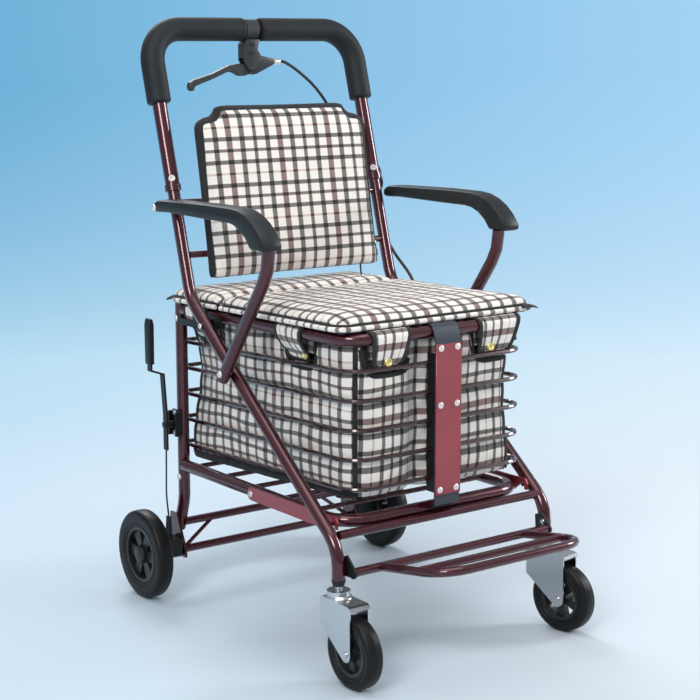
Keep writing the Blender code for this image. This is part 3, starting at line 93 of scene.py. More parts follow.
# Each band's width as a share of its repeat, counted round in fours
WARP_WIDTHS = (0.38, 0.28, 0.36, 0.44)
WEFT_WIDTHS = (0.36, 0.18, 0.36, 0.27)
CROSSING_BLACK = (0.010, 0.009, 0.009, 1)
WARP_YARNS = 22
WEFT_YARNS = 17


FROM_AXLE = Matrix.Translation((0, AXLE_Y, 0))


def spot(x, y, z):
    """A point's place in the frame."""
    return Vector((x, y + AXLE_Y, z))


def upper_y(z):
    """The side tube's centre line above its upper bend."""
    return COLLAR_Y + UPPER_LEAN * (z - COLLAR_Z)


def seat_z(y, at_front):
    return at_front - SEAT_FALL * (y - SEAT_FRONT_Y)


# Finishes

def add(tree, kind, values=None, **settings):
    """A shader node with its settings, and its sockets set to values or joined to other sockets."""
    made = tree.nodes.new("ShaderNode" + kind)
    for name, value in settings.items():
        setattr(made, name, value)
    return fed(tree, made, values or {})


def fed(tree, made, values):
    for socket, value in values.items():
        if isinstance(value, bpy.types.NodeSocket):
            tree.links.new(value, made.inputs[socket])
        else:
            made.inputs[socket].default_value = value
    return made


def maths(tree, operation, first, second=0.0, third=0.5, clamp=False):
    values = {0: first, 1: second, 2: third}
    return add(tree, "Math", values, operation=operation, use_clamp=clamp).outputs[0]


def blend_colour(tree, factor, first, second, way="MIX"):
    made = add(tree, "Mix", data_type="RGBA", blend_type=way)
    return fed(tree, made, {0: factor, 6: first, 7: second}).outputs[2]


def effect(name, inputs, outputs):
    """An empty node group: its tree, its input sockets by name, and its output node."""
    tree = bpy.data.node_groups.new(name, "ShaderNodeTree")
    for label, kind, value in inputs:
        socket = tree.interface.new_socket(label, in_out="INPUT", socket_type="NodeSocket" + kind)
        socket.default_value = value
    for label, kind in outputs:
        tree.interface.new_socket(label, in_out="OUTPUT", socket_type="NodeSocket" + kind)
    entry = tree.nodes.new("NodeGroupInput")
    return tree, entry.outputs, tree.nodes.new("NodeGroupOutput")


def place_effect(tree, group, values):
    return add(tree, "Group", values, node_tree=group).outputs


def coat_life():
    """Uneven gloss, faint flecks and a few fine scuffs of a painted or plated surface."""
    tree, given, out = effect("coat_life", [
        ("Colour", "Color", (0.2, 0.2, 0.2, 1)), ("Rubbed", "Color", (0.5, 0.5, 0.5, 1)),
        ("Rubbing", "Float", 0.3), ("Fleck", "Float", 0.1), ("Roughness", "Float", 0.3)],
        [("Colour", "Color"), ("Roughness", "Float"), ("Height", "Float")])
    place = add(tree, "TexCoord").outputs["Object"]
    cloud = add(tree, "TexNoise", {"Vector": place, "Scale": 14.0, "Detail": 4.0}).outputs["Fac"]
    fleck = add(tree, "TexVoronoi", {"Vector": place, "Scale": 1500.0}).outputs["Distance"]
    fine = add(tree, "TexNoise", {"Vector": place, "Scale": 420.0, "Detail": 2.0}).outputs["Fac"]
    lift = maths(tree, "MULTIPLY", maths(tree, "SUBTRACT", cloud, 0.5), 0.35)
    grain = maths(tree, "MULTIPLY", maths(tree, "SUBTRACT", 0.45, fleck), given["Fleck"])
    shade = maths(tree, "ADD", maths(tree, "ADD", 1.0, lift), grain)
    tinted = add(tree, "VectorMath", {0: given["Colour"], "Scale": shade}, operation="SCALE").outputs[0]
    nicks = add(tree, "TexNoise", {"Vector": place, "Scale": 130.0, "Detail": 5.0, "Roughness": 0.7}).outputs["Fac"]
    scuff = add(tree, "MapRange", {"Value": nicks, "From Min": 0.70, "From Max": 0.78}).outputs[0]
    rub = maths(tree, "MULTIPLY", scuff, given["Rubbing"], clamp=True)
    worn = maths(tree, "MULTIPLY_ADD", lift, 0.35, maths(tree, "MULTIPLY", scuff, 0.2))
    fed(tree, out, {"Colour": blend_colour(tree, rub, tinted, given["Rubbed"]),
                    "Roughness": maths(tree, "ADD", given["Roughness"], worn, clamp=True), "Height": fine})
    return tree


def moulded_grain():
    """Fine pebble of moulded plastic, foam or rubber, with a little dust in scattered patches."""
    tree, given, out = effect("moulded_grain", [
        ("Colour", "Color", (0.05, 0.05, 0.05, 1)), ("Dust", "Color", (0.3, 0.3, 0.3, 1)),
        ("Grain Scale", "Float", 900.0), ("Dusting", "Float", 0.1)],
        [("Colour", "Color"), ("Height", "Float")])
    place = add(tree, "TexCoord").outputs["Object"]
    pebble = add(tree, "TexVoronoi", {"Vector": place, "Scale": given["Grain Scale"]}).outputs["Distance"]
    cloud = add(tree, "TexNoise", {"Vector": place, "Scale": 22.0, "Detail": 5.0}).outputs["Fac"]
    patch = add(tree, "MapRange", {"Value": cloud, "From Min": 0.42, "From Max": 0.75}).outputs[0]
    dust = maths(tree, "MULTIPLY", patch, given["Dusting"], clamp=True)
    fed(tree, out, {"Colour": blend_colour(tree, dust, given["Colour"], given["Dust"]), "Height": pebble})
    return tree


def band(tree, along, width, soft=0.05):
    """A mask of a stripe in the middle of each repeat of along."""
    near = maths(tree, "ABSOLUTE", maths(tree, "SUBTRACT", maths(tree, "FRACT", along), 0.5))
    half = maths(tree, "MULTIPLY", width, 0.5)
    return maths(tree, "MULTIPLY_ADD", maths(tree, "SUBTRACT", half, near), 1 / soft, clamp=True)


def turn_of(tree, along, which):
    """A mask of every repeat whose number, counted round in fours, is which."""
    whole = maths(tree, "FLOORED_MODULO", maths(tree, "FLOOR", along), 4)
    return maths(tree, "COMPARE", whole, which)


def by_turn(tree, along, values):
    """A value for each repeat, counted round in fours."""
    total = 0.0
    for which, value in enumerate(values):
        total = maths(tree, "MULTIPLY_ADD", turn_of(tree, along, which), value, total)
    return total


def checked_weave():
    """Yarn-dyed check in plain weave: dark bands both ways, a wide red-brown one and a thin tan one in four."""
    tree, given, out = effect("checked_weave", [
        ("Cloth", "Vector", (0, 0, 0)), ("Ground", "Color", (0.82, 0.78, 0.73, 1)),
        ("Dark", "Color", (0.19, 0.18, 0.175, 1)), ("Red", "Color", (0.29, 0.20, 0.20, 1)),
        ("Thin", "Color", (0.78, 0.64, 0.58, 1))], [("Colour", "Color"), ("Height", "Float")])
    parts = add(tree, "SeparateXYZ", {"Vector": given["Cloth"]}).outputs
    across, along = parts["X"], parts["Y"]
    warp_dye = blend_colour(tree, turn_of(tree, across, 3), given["Dark"], given["Red"])
    warp_band = band(tree, across, by_turn(tree, across, WARP_WIDTHS))
    warp = blend_colour(tree, warp_band, (1, 1, 1, 1), warp_dye)
    weft_dye = blend_colour(tree, turn_of(tree, along, 1), given["Dark"], given["Thin"])
    red_row = maths(tree, "MULTIPLY", turn_of(tree, along, 3), 0.6)
    weft_dye = blend_colour(tree, red_row, weft_dye, given["Red"])
    weft_band = band(tree, along, by_turn(tree, along, WEFT_WIDTHS))
    weft = blend_colour(tree, weft_band, (1, 1, 1, 1), weft_dye)
    dyed = blend_colour(tree, 1.0, blend_colour(tree, 1.0, given["Ground"], warp, "MULTIPLY"), weft, "MULTIPLY")
    crossing = maths(tree, "MULTIPLY", warp_band, weft_band)
    dyed = blend_colour(tree, maths(tree, "MULTIPLY", crossing, 0.97), dyed, CROSSING_BLACK)
    over = maths(tree, "SINE", maths(tree, "MULTIPLY", across, math.tau * WARP_YARNS))
    under = maths(tree, "SINE", maths(tree, "MULTIPLY", along, math.tau * WEFT_YARNS))
    yarn = maths(tree, "MULTIPLY", over, under)
    slub = add(tree, "TexNoise", {"Vector": given["Cloth"], "Scale": 9.0, "Detail": 3.0}).outputs["Fac"]
    shade = maths(tree, "ADD", maths(tree, "MULTIPLY", yarn, 0.05), maths(tree, "MULTIPLY_ADD", slub, 0.24, 0.88))
    toned = add(tree, "VectorMath", {0: dyed, "Scale": shade}, operation="SCALE").outputs[0]
    fed(tree, out, {"Colour": toned, "Height": yarn})
    return tree


COAT_LIFE = coat_life()
MOULDED_GRAIN = moulded_grain()
CHECKED_WEAVE = checked_weave()


def new_finish(name, **sockets):
    material = bpy.data.materials.new(name)
    material.use_nodes = True
    shader = material.node_tree.nodes["Principled BSDF"]
    for socket, value in sockets.items():
        shader.inputs[socket.replace("_", " ")].default_value = value
    return material, material.node_tree, shader


def bumped(tree, shader, height, strength, distance):
    made = add(tree, "Bump", {"Height": height, "Strength": strength, "Distance": distance})
    tree.links.new(made.outputs[0], shader.inputs["Normal"])


def coated(name, colour, rubbed, rubbing, fleck, rough, bump, **sockets):
    material, tree, shader = new_finish(name, **sockets)
    life = place_effect(tree, COAT_LIFE, {"Colour": (*colour, 1), "Rubbed": (*rubbed, 1), "Rubbing": rubbing,
                                          "Fleck": fleck, "Roughness": rough})
    fed(tree, shader, {"Base Color": life["Colour"], "Roughness": life["Roughness"]})
    bumped(tree, shader, life["Height"], bump, 0.0002)
    return material


def moulded(name, colour, dust, scale, dusting, bump, **sockets):
    material, tree, shader = new_finish(name, **sockets)
    grain = place_effect(tree, MOULDED_GRAIN, {"Colour": (*colour, 1), "Dust": (*dust, 1),
                                               "Grain Scale": scale, "Dusting": dusting})
    tree.links.new(grain["Colour"], shader.inputs["Base Color"])
    bumped(tree, shader, grain["Height"], bump, 0.0003)
    return material


def check_finish():
    material, tree, shader = new_finish("check_cloth", Roughness=0.88, Sheen_Weight=0.25, Sheen_Roughness=0.5)
    lay = add(tree, "UVMap", uv_map="cloth").outputs[0]
    weave = place_effect(tree, CHECKED_WEAVE, {"Cloth": lay})
    tree.links.new(weave["Colour"], shader.inputs["Base Color"])
    bumped(tree, shader, weave["Height"], 0.35, 0.0003)
    return material


def tape_finish():
    """Black woven binding tape with its cross ribs."""
    material, tree, shader = new_finish("binding_tape", Roughness=0.86, Sheen_Weight=0.06)
    place = add(tree, "TexCoord").outputs["Object"]
    rib = add(tree, "TexWave", {"Vector": place, "Scale": 420.0, "Distortion": 1.5}, bands_direction="DIAGONAL")
    grain = place_effect(tree, MOULDED_GRAIN, {"Colour": (0.008, 0.009, 0.010, 1), "Dust": (0.030, 0.030, 0.031, 1),
                                               "Grain Scale": 1600.0, "Dusting": 0.4})
    tree.links.new(grain["Colour"], shader.inputs["Base Color"])
    bumped(tree, shader, rib.outputs["Fac"], 0.4, 0.0004)
    return material


BURGUNDY = coated("burgundy_paint", (0.060, 0.0040, 0.0115), (0.26, 0.13, 0.14), 0.20, 0.40, 0.28, 0.05,
                  Metallic=0.50, Coat_Weight=0.80, Coat_Roughness=0.09)
RAIL_COAT = coated("rail_paint", (0.030, 0.0070, 0.0095), (0.30, 0.20, 0.20), 0.20, 0.40, 0.22, 0.05,
                   Metallic=0.35, Coat_Weight=1.0, Coat_Roughness=0.05)
ROSE = coated("rose_paint", (0.31, 0.045, 0.060), (0.55, 0.38, 0.36), 0.3, 0.40, 0.36, 0.06,
              Metallic=0.40, Coat_Weight=0.45, Coat_Roughness=0.20)
BLACK_COAT = coated("black_coat", (0.011, 0.012, 0.013), (0.22, 0.22, 0.22), 0.5, 0.2, 0.40, 0.10,
                    Metallic=0.1, Coat_Weight=0.05, Coat_Roughness=0.3, Specular_IOR_Level=0.3)
LEVER_COAT = coated("lever_coat", (0.030, 0.035, 0.037), (0.30, 0.30, 0.30), 0.5, 0.2, 0.44, 0.20,
                    Metallic=0.3)
STRAP_STEEL = coated("blued_steel", (0.050, 0.062, 0.078), (0.30, 0.32, 0.34), 0.5, 0.2, 0.40, 0.10,
                     Metallic=0.35)
ZINC = coated("bright_zinc", (0.60, 0.61, 0.63), (0.80, 0.80, 0.80), 0.5, 0.35, 0.20, 0.10, Metallic=1.0)
RIVET = coated("rivet_aluminium", (0.82, 0.81, 0.79), (0.9, 0.9, 0.9), 0.3, 0.1, 0.34, 0.05, Metallic=0.75)
BRASS = coated("snap_brass", (0.74, 0.60, 0.22), (0.85, 0.75, 0.45), 0.5, 0.1, 0.28, 0.05, Metallic=0.9)
MOULDED = moulded("moulded_black", (0.0080, 0.0105, 0.0130), (0.055, 0.060, 0.065), 1100.0, 0.12, 0.22,
                  Roughness=0.46, Specular_IOR_Level=0.35)
FOAM = moulded("foam_grip", (0.0060, 0.0090, 0.0115), (0.030, 0.038, 0.044), 1300.0, 0.12, 0.30,
               Roughness=0.58, Sheen_Weight=0.02, Specular_IOR_Level=0.30)
TYRE = moulded("tyre_rubber", (0.0045, 0.0045, 0.0050), (0.045, 0.041, 0.038), 700.0, 0.08, 0.25,
               Roughness=0.42, Specular_IOR_Level=0.25)
HUB = moulded("hub_plastic", (0.011, 0.012, 0.013), (0.08, 0.08, 0.08), 900.0, 0.10, 0.18,
              Roughness=0.36, Specular_IOR_Level=0.40)
BOARD = moulded("seat_board_felt", (0.020, 0.020, 0.021), (0.08, 0.08, 0.08), 800.0, 0.30, 0.35,
                Roughness=0.90)
CABLE = moulded("cable_jacket", (0.012, 0.013, 0.014), (0.07, 0.07, 0.07), 900.0, 0.15, 0.08, Roughness=0.32)
CHECK = check_finish()
TAPE = tape_finish()


def black_flanges(material):
    """The strap is blued on its face and over the seat tube, and black inside its flanges."""
    tree = material.node_tree
    socket = tree.nodes["Principled BSDF"].inputs["Base Color"]
    blued = socket.links[0].from_socket
    parts = add(tree, "SeparateXYZ", {"Vector": add(tree, "TexCoord").outputs["Object"]}).outputs
    face = maths(tree, "LESS_THAN", parts["Y"], STRAP_FACE_Y)
    bare = maths(tree, "MAXIMUM", face, maths(tree, "GREATER_THAN", parts["Z"], STRAP_TOP_Z))
    tree.links.new(blend_colour(tree, bare, (0.006, 0.006, 0.007, 1), blued), socket)


black_flanges(STRAP_STEEL)

NODE_FINISHES = {
    "burgundy_paint": BURGUNDY, "rose_paint": ROSE, "black_paint": BLACK_COAT, "zinc": ZINC,
    "black_plastic": MOULDED, "grip_rubber": FOAM, "tyre_rubber": TYRE, "check_cloth": CHECK,
    "seat_board": BOARD, "cable_jacket": CABLE,
}
OWN_FINISHES = {"caster_hub": HUB, "rear_hub": HUB, "brake_clamp": LEVER_COAT, "brake_lever": LEVER_COAT,
                "front_backing": STRAP_STEEL, "basket_rail": RAIL_COAT}


def dress_nodes():
    """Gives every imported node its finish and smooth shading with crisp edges."""
    slots = {row["node"]: row["material_slot"] for row in frame["record"]["subparts"]}
    for name, made in frame["nodes"].items():
        finish = next((f for start, f in OWN_FINISHES.items() if name.startswith(start)),
                      NODE_FINISHES[slots[name]])
        made.data.materials.clear()
        made.data.materials.append(finish)
        weld = made.modifiers.new("Weld", "WELD")
        weld.merge_threshold = 0.00002
        made.data.shade_smooth()
        crisp = made.modifiers.new("Edges", "EDGE_SPLIT")
        crisp.split_angle = math.radians(38)


# Mesh making

def finish_piece(bm, name, material, body, smooth=38):
    """The bmesh as a piece of the walker that rides on a body."""
    bmesh.ops.recalc_face_normals(bm, faces=bm.faces)
    return piece_of(mesh_of(bm, name), name, material, body, smooth)


def mesh_of(bm, name):
    mesh = bpy.data.meshes.new(name)
    bm.to_mesh(mesh)
    bm.free()
    return mesh


def placed(name, data):
    """A new object in the scene."""
    made = bpy.data.objects.new(name, data)
    scene.collection.objects.link(made)
    return made


def piece_of(mesh, name, material, body, smooth=38):
    made = placed(name, mesh)
    mesh.materials.clear()
    mesh.materials.append(material)
    mesh.shade_smooth()
    if smooth:
        mesh.set_sharp_from_angle(angle=math.radians(smooth))
    if body:
        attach(made, body)
    return made


def settled(made):
    """The object's mesh with its modifiers applied."""
    bpy.context.view_layer.update()
    graph = bpy.context.evaluated_depsgraph_get()
    mesh = bpy.data.meshes.new_from_object(made.evaluated_get(graph))
    bpy.data.objects.remove(made, do_unlink=True)
    return mesh


def worked(mesh, kind, **settings):
    """The mesh after one modifier."""
    made = placed("form", mesh)
    step = made.modifiers.new("Step", kind)
    for name, value in settings.items():
        setattr(step, name, value)
    return settled(made)


def rounded(points, radius, closed=False, step=math.radians(9)):
    points = [Vector(p) for p in points]
    count = len(points)
    radii = radius if isinstance(radius, (list, tuple)) else [radius] * count
    path = []
    for i, corner in enumerate(points):
        if radii[i] <= 0 or (not closed and i in (0, count - 1)):
            path.append(corner)
            continue
        before = (points[i - 1] - corner).normalized()
        after = (points[(i + 1) % count] - corner).normalized()
        turn = math.pi - before.angle(after)
        if turn < 1e-4:
            path.append(corner)
            continue
        reach = radii[i] * math.tan(turn / 2)
        centre = corner + (before + after).normalized() * radii[i] / math.cos(turn / 2)
        start = corner + before * reach - centre
        normal = start.cross(corner + after * reach - centre).normalized()
        steps = max(1, round(turn / step))
        for k in range(steps + 1):
            path.append(centre + Matrix.Rotation(turn * k / steps, 3, normal) @ start)
    return path


def evened(path, spacing, closed=False):
    """The path cut into even steps."""
    loop = path + [path[0]] if closed else path
    lengths = [(b - a).length for a, b in zip(loop, loop[1:])]
    total = sum(lengths)
    steps = max(2, round(total / spacing))
    out = []
    gone, k = 0.0, 0
    for i in range(steps + (0 if closed else 1)):
        aim = total * i / steps
        while k < len(lengths) - 1 and gone + lengths[k] < aim:
            gone += lengths[k]
            k += 1
        share = (aim - gone) / lengths[k] if lengths[k] > 1e-9 else 0
        out.append(loop[k].lerp(loop[k + 1], min(1, share)))
    return out


def curved(points, spacing):
    """Even steps along a smooth curve through the points."""
    points = [Vector(p) for p in points]
    ends = [points[0] * 2 - points[1]] + points + [points[-1] * 2 - points[-2]]
    dense = []
    for i in range(1, len(ends) - 2):
        a, b, c, d = ends[i - 1:i + 3]
        for k in range(16):
            t = k / 16
            dense.append(0.5 * (b * 2 + (c - a) * t + (a * 2 - b * 5 + c * 4 - d) * t * t
                                + (b * 3 - a - c * 3 + d) * t ** 3))
    dense.append(points[-1])
    return evened(dense, spacing)


def tangents_of(path, closed):
    count = len(path)
    found = []
    for i in range(count):
        ahead = path[(i + 1) % count] if closed or i < count - 1 else path[i]
        behind = path[i - 1] if closed or i > 0 else path[i]
        found.append((ahead - behind).normalized())
    return found


def ways_out(path, middle):
    """Level directions out of a closed loop, one at each of its points."""
    ways = [Vector((t.y, -t.x, 0)).normalized() for t in tangents_of(path, True)]
    for point, way in zip(path, ways):
        if way.dot(point - middle) < 0:
            way.negate()
    return ways


def join_rings(bm, first, second):
    """Faces between two rings of as many points."""
    count = len(first)
    return [bm.faces.new((first[k], first[(k + 1) % count], second[(k + 1) % count], second[k]))
            for k in range(count)]


def lathed(name, profile, centre, axis, sides, material, body, place=None):
    """A turned shape as a piece of its own."""
    bm = bmesh.new()
    turned_into(bm, profile, centre, axis, sides)
    bm.transform(place or Matrix())
    return finish_piece(bm, name, material, body)


def tubed(name, path, radius, sides, material, body, smooth=60, flat=1.0, facing=None, place=None):
    """A tube as a piece of its own."""
    bm = bmesh.new()
    tube_into(bm, path, radius, sides, flat, facing)
    bm.transform(place or Matrix())
    return finish_piece(bm, name, material, body, smooth)


def tube_into(bm, path, radius, sides, flat=1.0, facing=None):
    """A round or flattened tube along the path. facing gives the side that its flat lies towards."""
    tangents = tangents_of(path, False)
    radii = radius if isinstance(radius, (list, tuple)) else [radius] * len(path)
    side = tangents[0].orthogonal().normalized()
    rings = []
    for i, (point, tangent) in enumerate(zip(path, tangents)):
        if facing:
            side = Vector(facing[i])
        elif i:
            side = tangents[i - 1].rotation_difference(tangent) @ side
        side = (side - tangent * side.dot(tangent)).normalized()
        up = tangent.cross(side)
        ring = []
        for k in range(sides):
            angle = math.tau * k / sides
            ring.append(bm.verts.new(point + side * radii[i] * flat * math.cos(angle)
                                     + up * radii[i] * math.sin(angle)))
        rings.append(ring)
    for first, second in zip(rings, rings[1:]):
        join_rings(bm, first, second)
    bm.faces.new(rings[0])
    bm.faces.new(rings[-1])


def turned_into(bm, profile, centre, axis, sides=20):
    """The (radius, along) profile turned about the axis through the centre, open at the ends on the axis."""
    axis = Vector(axis).normalized()
    side = axis.orthogonal().normalized()
    up = axis.cross(side)
    centre = Vector(centre)
    previous = None
    for radius, along in profile:
        base = centre + axis * along
        if radius < 1e-7:
            ring = [bm.verts.new(base)]
        else:
            ring = [bm.verts.new(base + side * radius * math.cos(math.tau * k / sides)
                                 + up * radius * math.sin(math.tau * k / sides)) for k in range(sides)]
        if previous:
            for k in range(sides):
                n = (k + 1) % sides
                corners = [previous[k % len(previous)], previous[n % len(previous)],
                           ring[n % len(ring)], ring[k % len(ring)]]
                kept = []
                for corner in corners:
                    if corner not in kept:
                        kept.append(corner)
                if len(kept) > 2:
                    bm.faces.new(kept)
        previous = ring


def slab_into(bm, outline, plane, low, high):
    """The outline, in the plane YZ, XZ or XY, thickened from low to high along the third axis."""
    spots = {"YZ": lambda a, b, d: Vector((d, a, b)), "XZ": lambda a, b, d: Vector((a, d, b)),
             "XY": lambda a, b, d: Vector((a, b, d))}[plane]
    rings = [[bm.verts.new(spots(a, b, d)) for a, b in outline] for d in (low, high)]
    join_rings(bm, *rings)
    bm.faces.new(rings[0])
    bm.faces.new(rings[1])


# Cushions

PAD_PRESSURE = 4.0
PAD_FRAMES = 20
EDGE_STEPS = 9


def gap_to_edge(point, outline):
    best = 1.0
    count = len(outline)
    for k in range(count):
        a, b = outline[k], outline[(k + 1) % count]
        run = b - a
        share = max(0.0, min(1.0, (point - a).dot(run) / run.length_squared))
        best = min(best, (point - a - run * share).length)
    return best


def stuffed(outline, edge, crown, reach, voxel, cap):
    """A filled cushion on its plane: the outline is thickened, crowned and then blown up as cloth."""
    bm = bmesh.new()
    slab_into(bm, [tuple(p) for p in outline], "XY", 0.0, edge)
    bmesh.ops.recalc_face_normals(bm, faces=bm.faces)
    mesh = worked(mesh_of(bm, "form"), "REMESH", mode="VOXEL", voxel_size=voxel)
    for vert in mesh.vertices:
        inside = min(1.0, gap_to_edge(Vector(vert.co.xy), outline) / reach)
        rise = 1 - (1 - inside) ** 2
        if vert.co.z > edge / 2:
            vert.co.z += crown * rise
    start = [vert.co.copy() for vert in mesh.vertices]
    made = placed("form", mesh)
    cloth = made.modifiers.new("Cloth", "CLOTH")
    cloth.settings.use_pressure = True
    cloth.settings.uniform_pressure_force = PAD_PRESSURE
    cloth.settings.effector_weights.gravity = 0.0
    cloth.point_cache.frame_end = PAD_FRAMES
    for number in range(1, PAD_FRAMES + 1):
        scene.frame_set(number)
    mesh = settled(made)
    scene.frame_set(1)
    for vert, rest in zip(mesh.vertices, start):
        move = vert.co - rest
        if move.length > cap:
            vert.co = rest + move * (cap / move.length)
    for vert in mesh.vertices:
        vert.co.z = max(vert.co.z, 0.0)
    return worked(worked(mesh, "SMOOTH", factor=0.5, iterations=3), "SUBSURF", levels=1, render_levels=1)


def ripple(mesh, across, along, seed, depth):
    """Shallow uneven rises of the cushion's face."""
    for vert in mesh.vertices:
        wave = noise.noise(Vector((vert.co.x * across, vert.co.y * along, seed)))
        vert.co.z += depth * wave * min(1.0, vert.co.z / 0.010)


def lay_check(mesh, top, shift, turned=1.0):
    """Writes the cloth's own coordinates, counted in repeats, so that the check wraps over the edges.

    Beyond the line turned, the cloth is drawn askew, as over the backrest's upper corners.
    """
    mesh.shade_smooth()
    layer = mesh.uv_layers.new(name="cloth")
    laid = []
    for vert in mesh.vertices:
        lean = Vector(vert.normal.xy)
        side = min(1.0, lean.length)
        drop = max(0.0, top - vert.co.z) * side
        push = lean.normalized() * drop if side > 1e-4 else Vector((0, 0))
        slant = max(0.0, vert.co.y - turned) / 0.020
        laid.append(((vert.co.x + push.x + shift[0] + 0.010 * slant) / CHECK_WIDE,
                     (vert.co.y + push.y + shift[1] + 0.006 * slant) / CHECK_SHORT))
    for loop in mesh.loops:
        layer.data[loop.index].uv = laid[loop.vertex_index]


def rim_of(mesh, outline, height):
    """The cushion's skin for rays, its outline at one height, and the ways out of it."""
    skin = BVHTree.FromPolygons([v.co for v in mesh.vertices], [p.vertices[:] for p in mesh.polygons])
    ring = [Vector((p.x, p.y, height)) for p in outline]
    return skin, ring, ways_out(ring, sum(ring, Vector()) / len(ring))


def skirt_path(mesh, outline, height, off):
    """Points round the cushion at one height, on its skin, with the way out of it at each."""
    skin, ring, ways = rim_of(mesh, outline, height)
    found = []
    for point, way in zip(ring, ways):
        hit = skin.ray_cast(point + way * 0.03, -way, 0.05)[0]
        found.append(((hit if hit else point) + way * off, way))
    for _ in range(2):
        moved = []
        for k, (point, way) in enumerate(found):
            mean = (found[k - 1][0] + found[(k + 1) % len(found)][0]) / 2
            moved.append((point.lerp(mean, 0.5), way))
        found = moved
    return found


def bound_edge(name, found, place, width, thick, body="root"):
    """Binding tape folded over an edge: a flattened roll that follows the found points."""
    tubed(name, [p for p, _ in found], width / 2, 10, TAPE, body, 60, thick / width,
          [w for _, w in found], place)


def edge_wrap(name, mesh, outline, place, height, inner, low, high, body, keep):
    """Binding that wraps a cushion's edge: laid on the skin from the low to the high angle about its rim."""
    skin, ring, ways = rim_of(mesh, outline, height)
    rows = []
    for point, way in zip(ring, ways):
        if not keep(point):
            rows.append(None)
            continue
        depth = inner(point)
        core = point - way * depth
        outer = []
        for j in range(EDGE_STEPS + 1):
            angle = math.radians(low + (high - low) * j / EDGE_STEPS)
            ray = way * math.cos(angle) + Vector((0, 0, math.sin(angle)))
            hit = skin.ray_cast(core + ray * 0.06, -ray, 0.06)[0] or core + ray * depth
            lift = 0.0009 if 0 < j < EDGE_STEPS else 0.0002
            outer.append((hit + ray * lift, hit - ray * 0.0010))
        rows.append([p for p, _ in outer] + [p for _, p in outer[::-1]])
    first = next(k for k, row in enumerate(rows) if row is None)
    rows = [row for row in rows[first:] + rows[:first] if row]
    bm = bmesh.new()
    rings = [[bm.verts.new(p) for p in row] for row in rows]
    for first_ring, next_ring in zip(rings, rings[1:]):
        join_rings(bm, first_ring, next_ring)
    bm.faces.new(rings[0])
    bm.faces.new(rings[-1])
    bm.transform(place)
    return finish_piece(bm, name, TAPE, body, 60)


SEAT_HALF = 0.1765
BOARD_THICK = 0.0050
LAY_GAP = 0.0003
SEAT_SHIFT = 0.008
SEAM_MARGIN = 0.004
ROLL_R = 0.0036
# Each seat cushion: its body, front and rear edges, corner radii, and the corner that carries the flap
SEAT_PADS = {"front": ("seat_lid", -0.4500, -0.1330, (0.030, 0.012, 0.008, 0.008), (1, -1), (1, -0.35)),
             "rear": ("root", -0.1290, 0.0060, (0.008, 0.008, 0.022, 0.010), (-1, 1), (-1, 0.25))}
# A corner flap's sections: reach from its root, fall and half width
FLAP = ((0.0, 0.0, 0.0170), (0.0120, 0.0003, 0.0140), (0.0190, 0.0012, 0.0100), (0.0240, 0.0026, 0.0072),
        (0.0272, 0.0042, 0.0040))
FLAP_ROOT = 0.0230


def seat_pads():
    """Two seat cushions, hinged along their seam, each with a black bound edge above a small lower roll."""
    base = SEAT_FRONT_Z + TUBE_R + LAY_GAP + BOARD_THICK + LAY_GAP
    tilt = Matrix.Rotation(-math.atan(SEAT_FALL), 4, "X")
    for name, (body, front, rear, radii, corner, flap_way) in SEAT_PADS.items():
        middle = (front + rear) / 2
        half = (rear - front) / 2
        square = [(-SEAT_HALF, -half, 0), (SEAT_HALF, -half, 0), (SEAT_HALF, half, 0), (-SEAT_HALF, half, 0)]
        outline = [Vector(p.xy) for p in evened(rounded(square, radii, closed=True), 0.006, True)]
        mesh = stuffed(outline, 0.0130, 0.0050, 0.075, 0.0055, 0.0050)
        ripple(mesh, 30, 30, 2.0, 0.0007)
        lay_check(mesh, 0.0150, (SEAT_SHIFT, middle))
        place = Matrix.Translation(spot(0, middle, seat_z(middle, base))) @ tilt
        edge = skirt_path(mesh, outline, 0.0042, 0.0004)
        behind = 1 if name == "front" else -1
        first = min(range(len(edge)), key=lambda k: abs(edge[k][0].x) + abs(edge[k][0].y - behind * half))
        mesh.transform(place)
        pad = piece_of(mesh, f"seat_pad_{name}", CHECK, body, 0)
        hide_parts(f"seat_cushion_{name}")

        def off_seam(point):
            return point.y * behind < half - SEAM_MARGIN or abs(point.x) > SEAT_HALF - SEAM_MARGIN

        bound = [pair for pair in edge[first:] + edge[:first] if off_seam(pair[0])]
        bound_edge(f"seat_binding_{name}", bound, place, 0.0066, 0.0030, body)
        seat_roll(name, outline, place, body, off_seam, middle)
        way = Vector((*flap_way, 0)).normalized()
        root = Vector((corner[0] * SEAT_HALF, corner[1] * half, 0.0046)) - way * FLAP_ROOT
        tubed(f"seat_corner_{name}", [root + way * reach - Vector((0, 0, drop)) for reach, drop, _ in FLAP],
              [width for *_, width in FLAP], 12, TAPE, body, 60, 0.20,
              [Vector((0, 0, 1))] * len(FLAP), place)


def seat_roll(name, outline, place, body, keep, middle):
    """The thin roll of check cloth under a seat cushion's black binding."""
    path = [Vector((p.x, p.y, 0.0006)) for p in outline]
    path = [point - way * ROLL_R for point, way in zip(path, ways_out(path, Vector()))]
    first = next(k for k, point in enumerate(path) if not keep(point))
    bm = bmesh.new()
    tube_into(bm, [p for p in path[first:] + path[:first] if keep(p)], ROLL_R, 12)
    lay = bm.loops.layers.uv.new("cloth")
    for face in bm.faces:
        for loop in face.loops:
            at = loop.vert.co
            loop[lay].uv = ((at.x + SEAT_SHIFT) / CHECK_WIDE, (at.y + middle) / CHECK_SHORT)
    bm.transform(place)
    finish_piece(bm, f"seat_roll_{name}", CHECK, body, 60)


BACK_HALF = 0.1622
BACK_RISE = 0.1365
BACK_LOW_Z = 0.5090
BACK_TOP_Z = 0.7760
BACK_LOW_Y = -0.0870
# Where the hanging tab leaves the backrest's foot
TAB_X = 0.1290


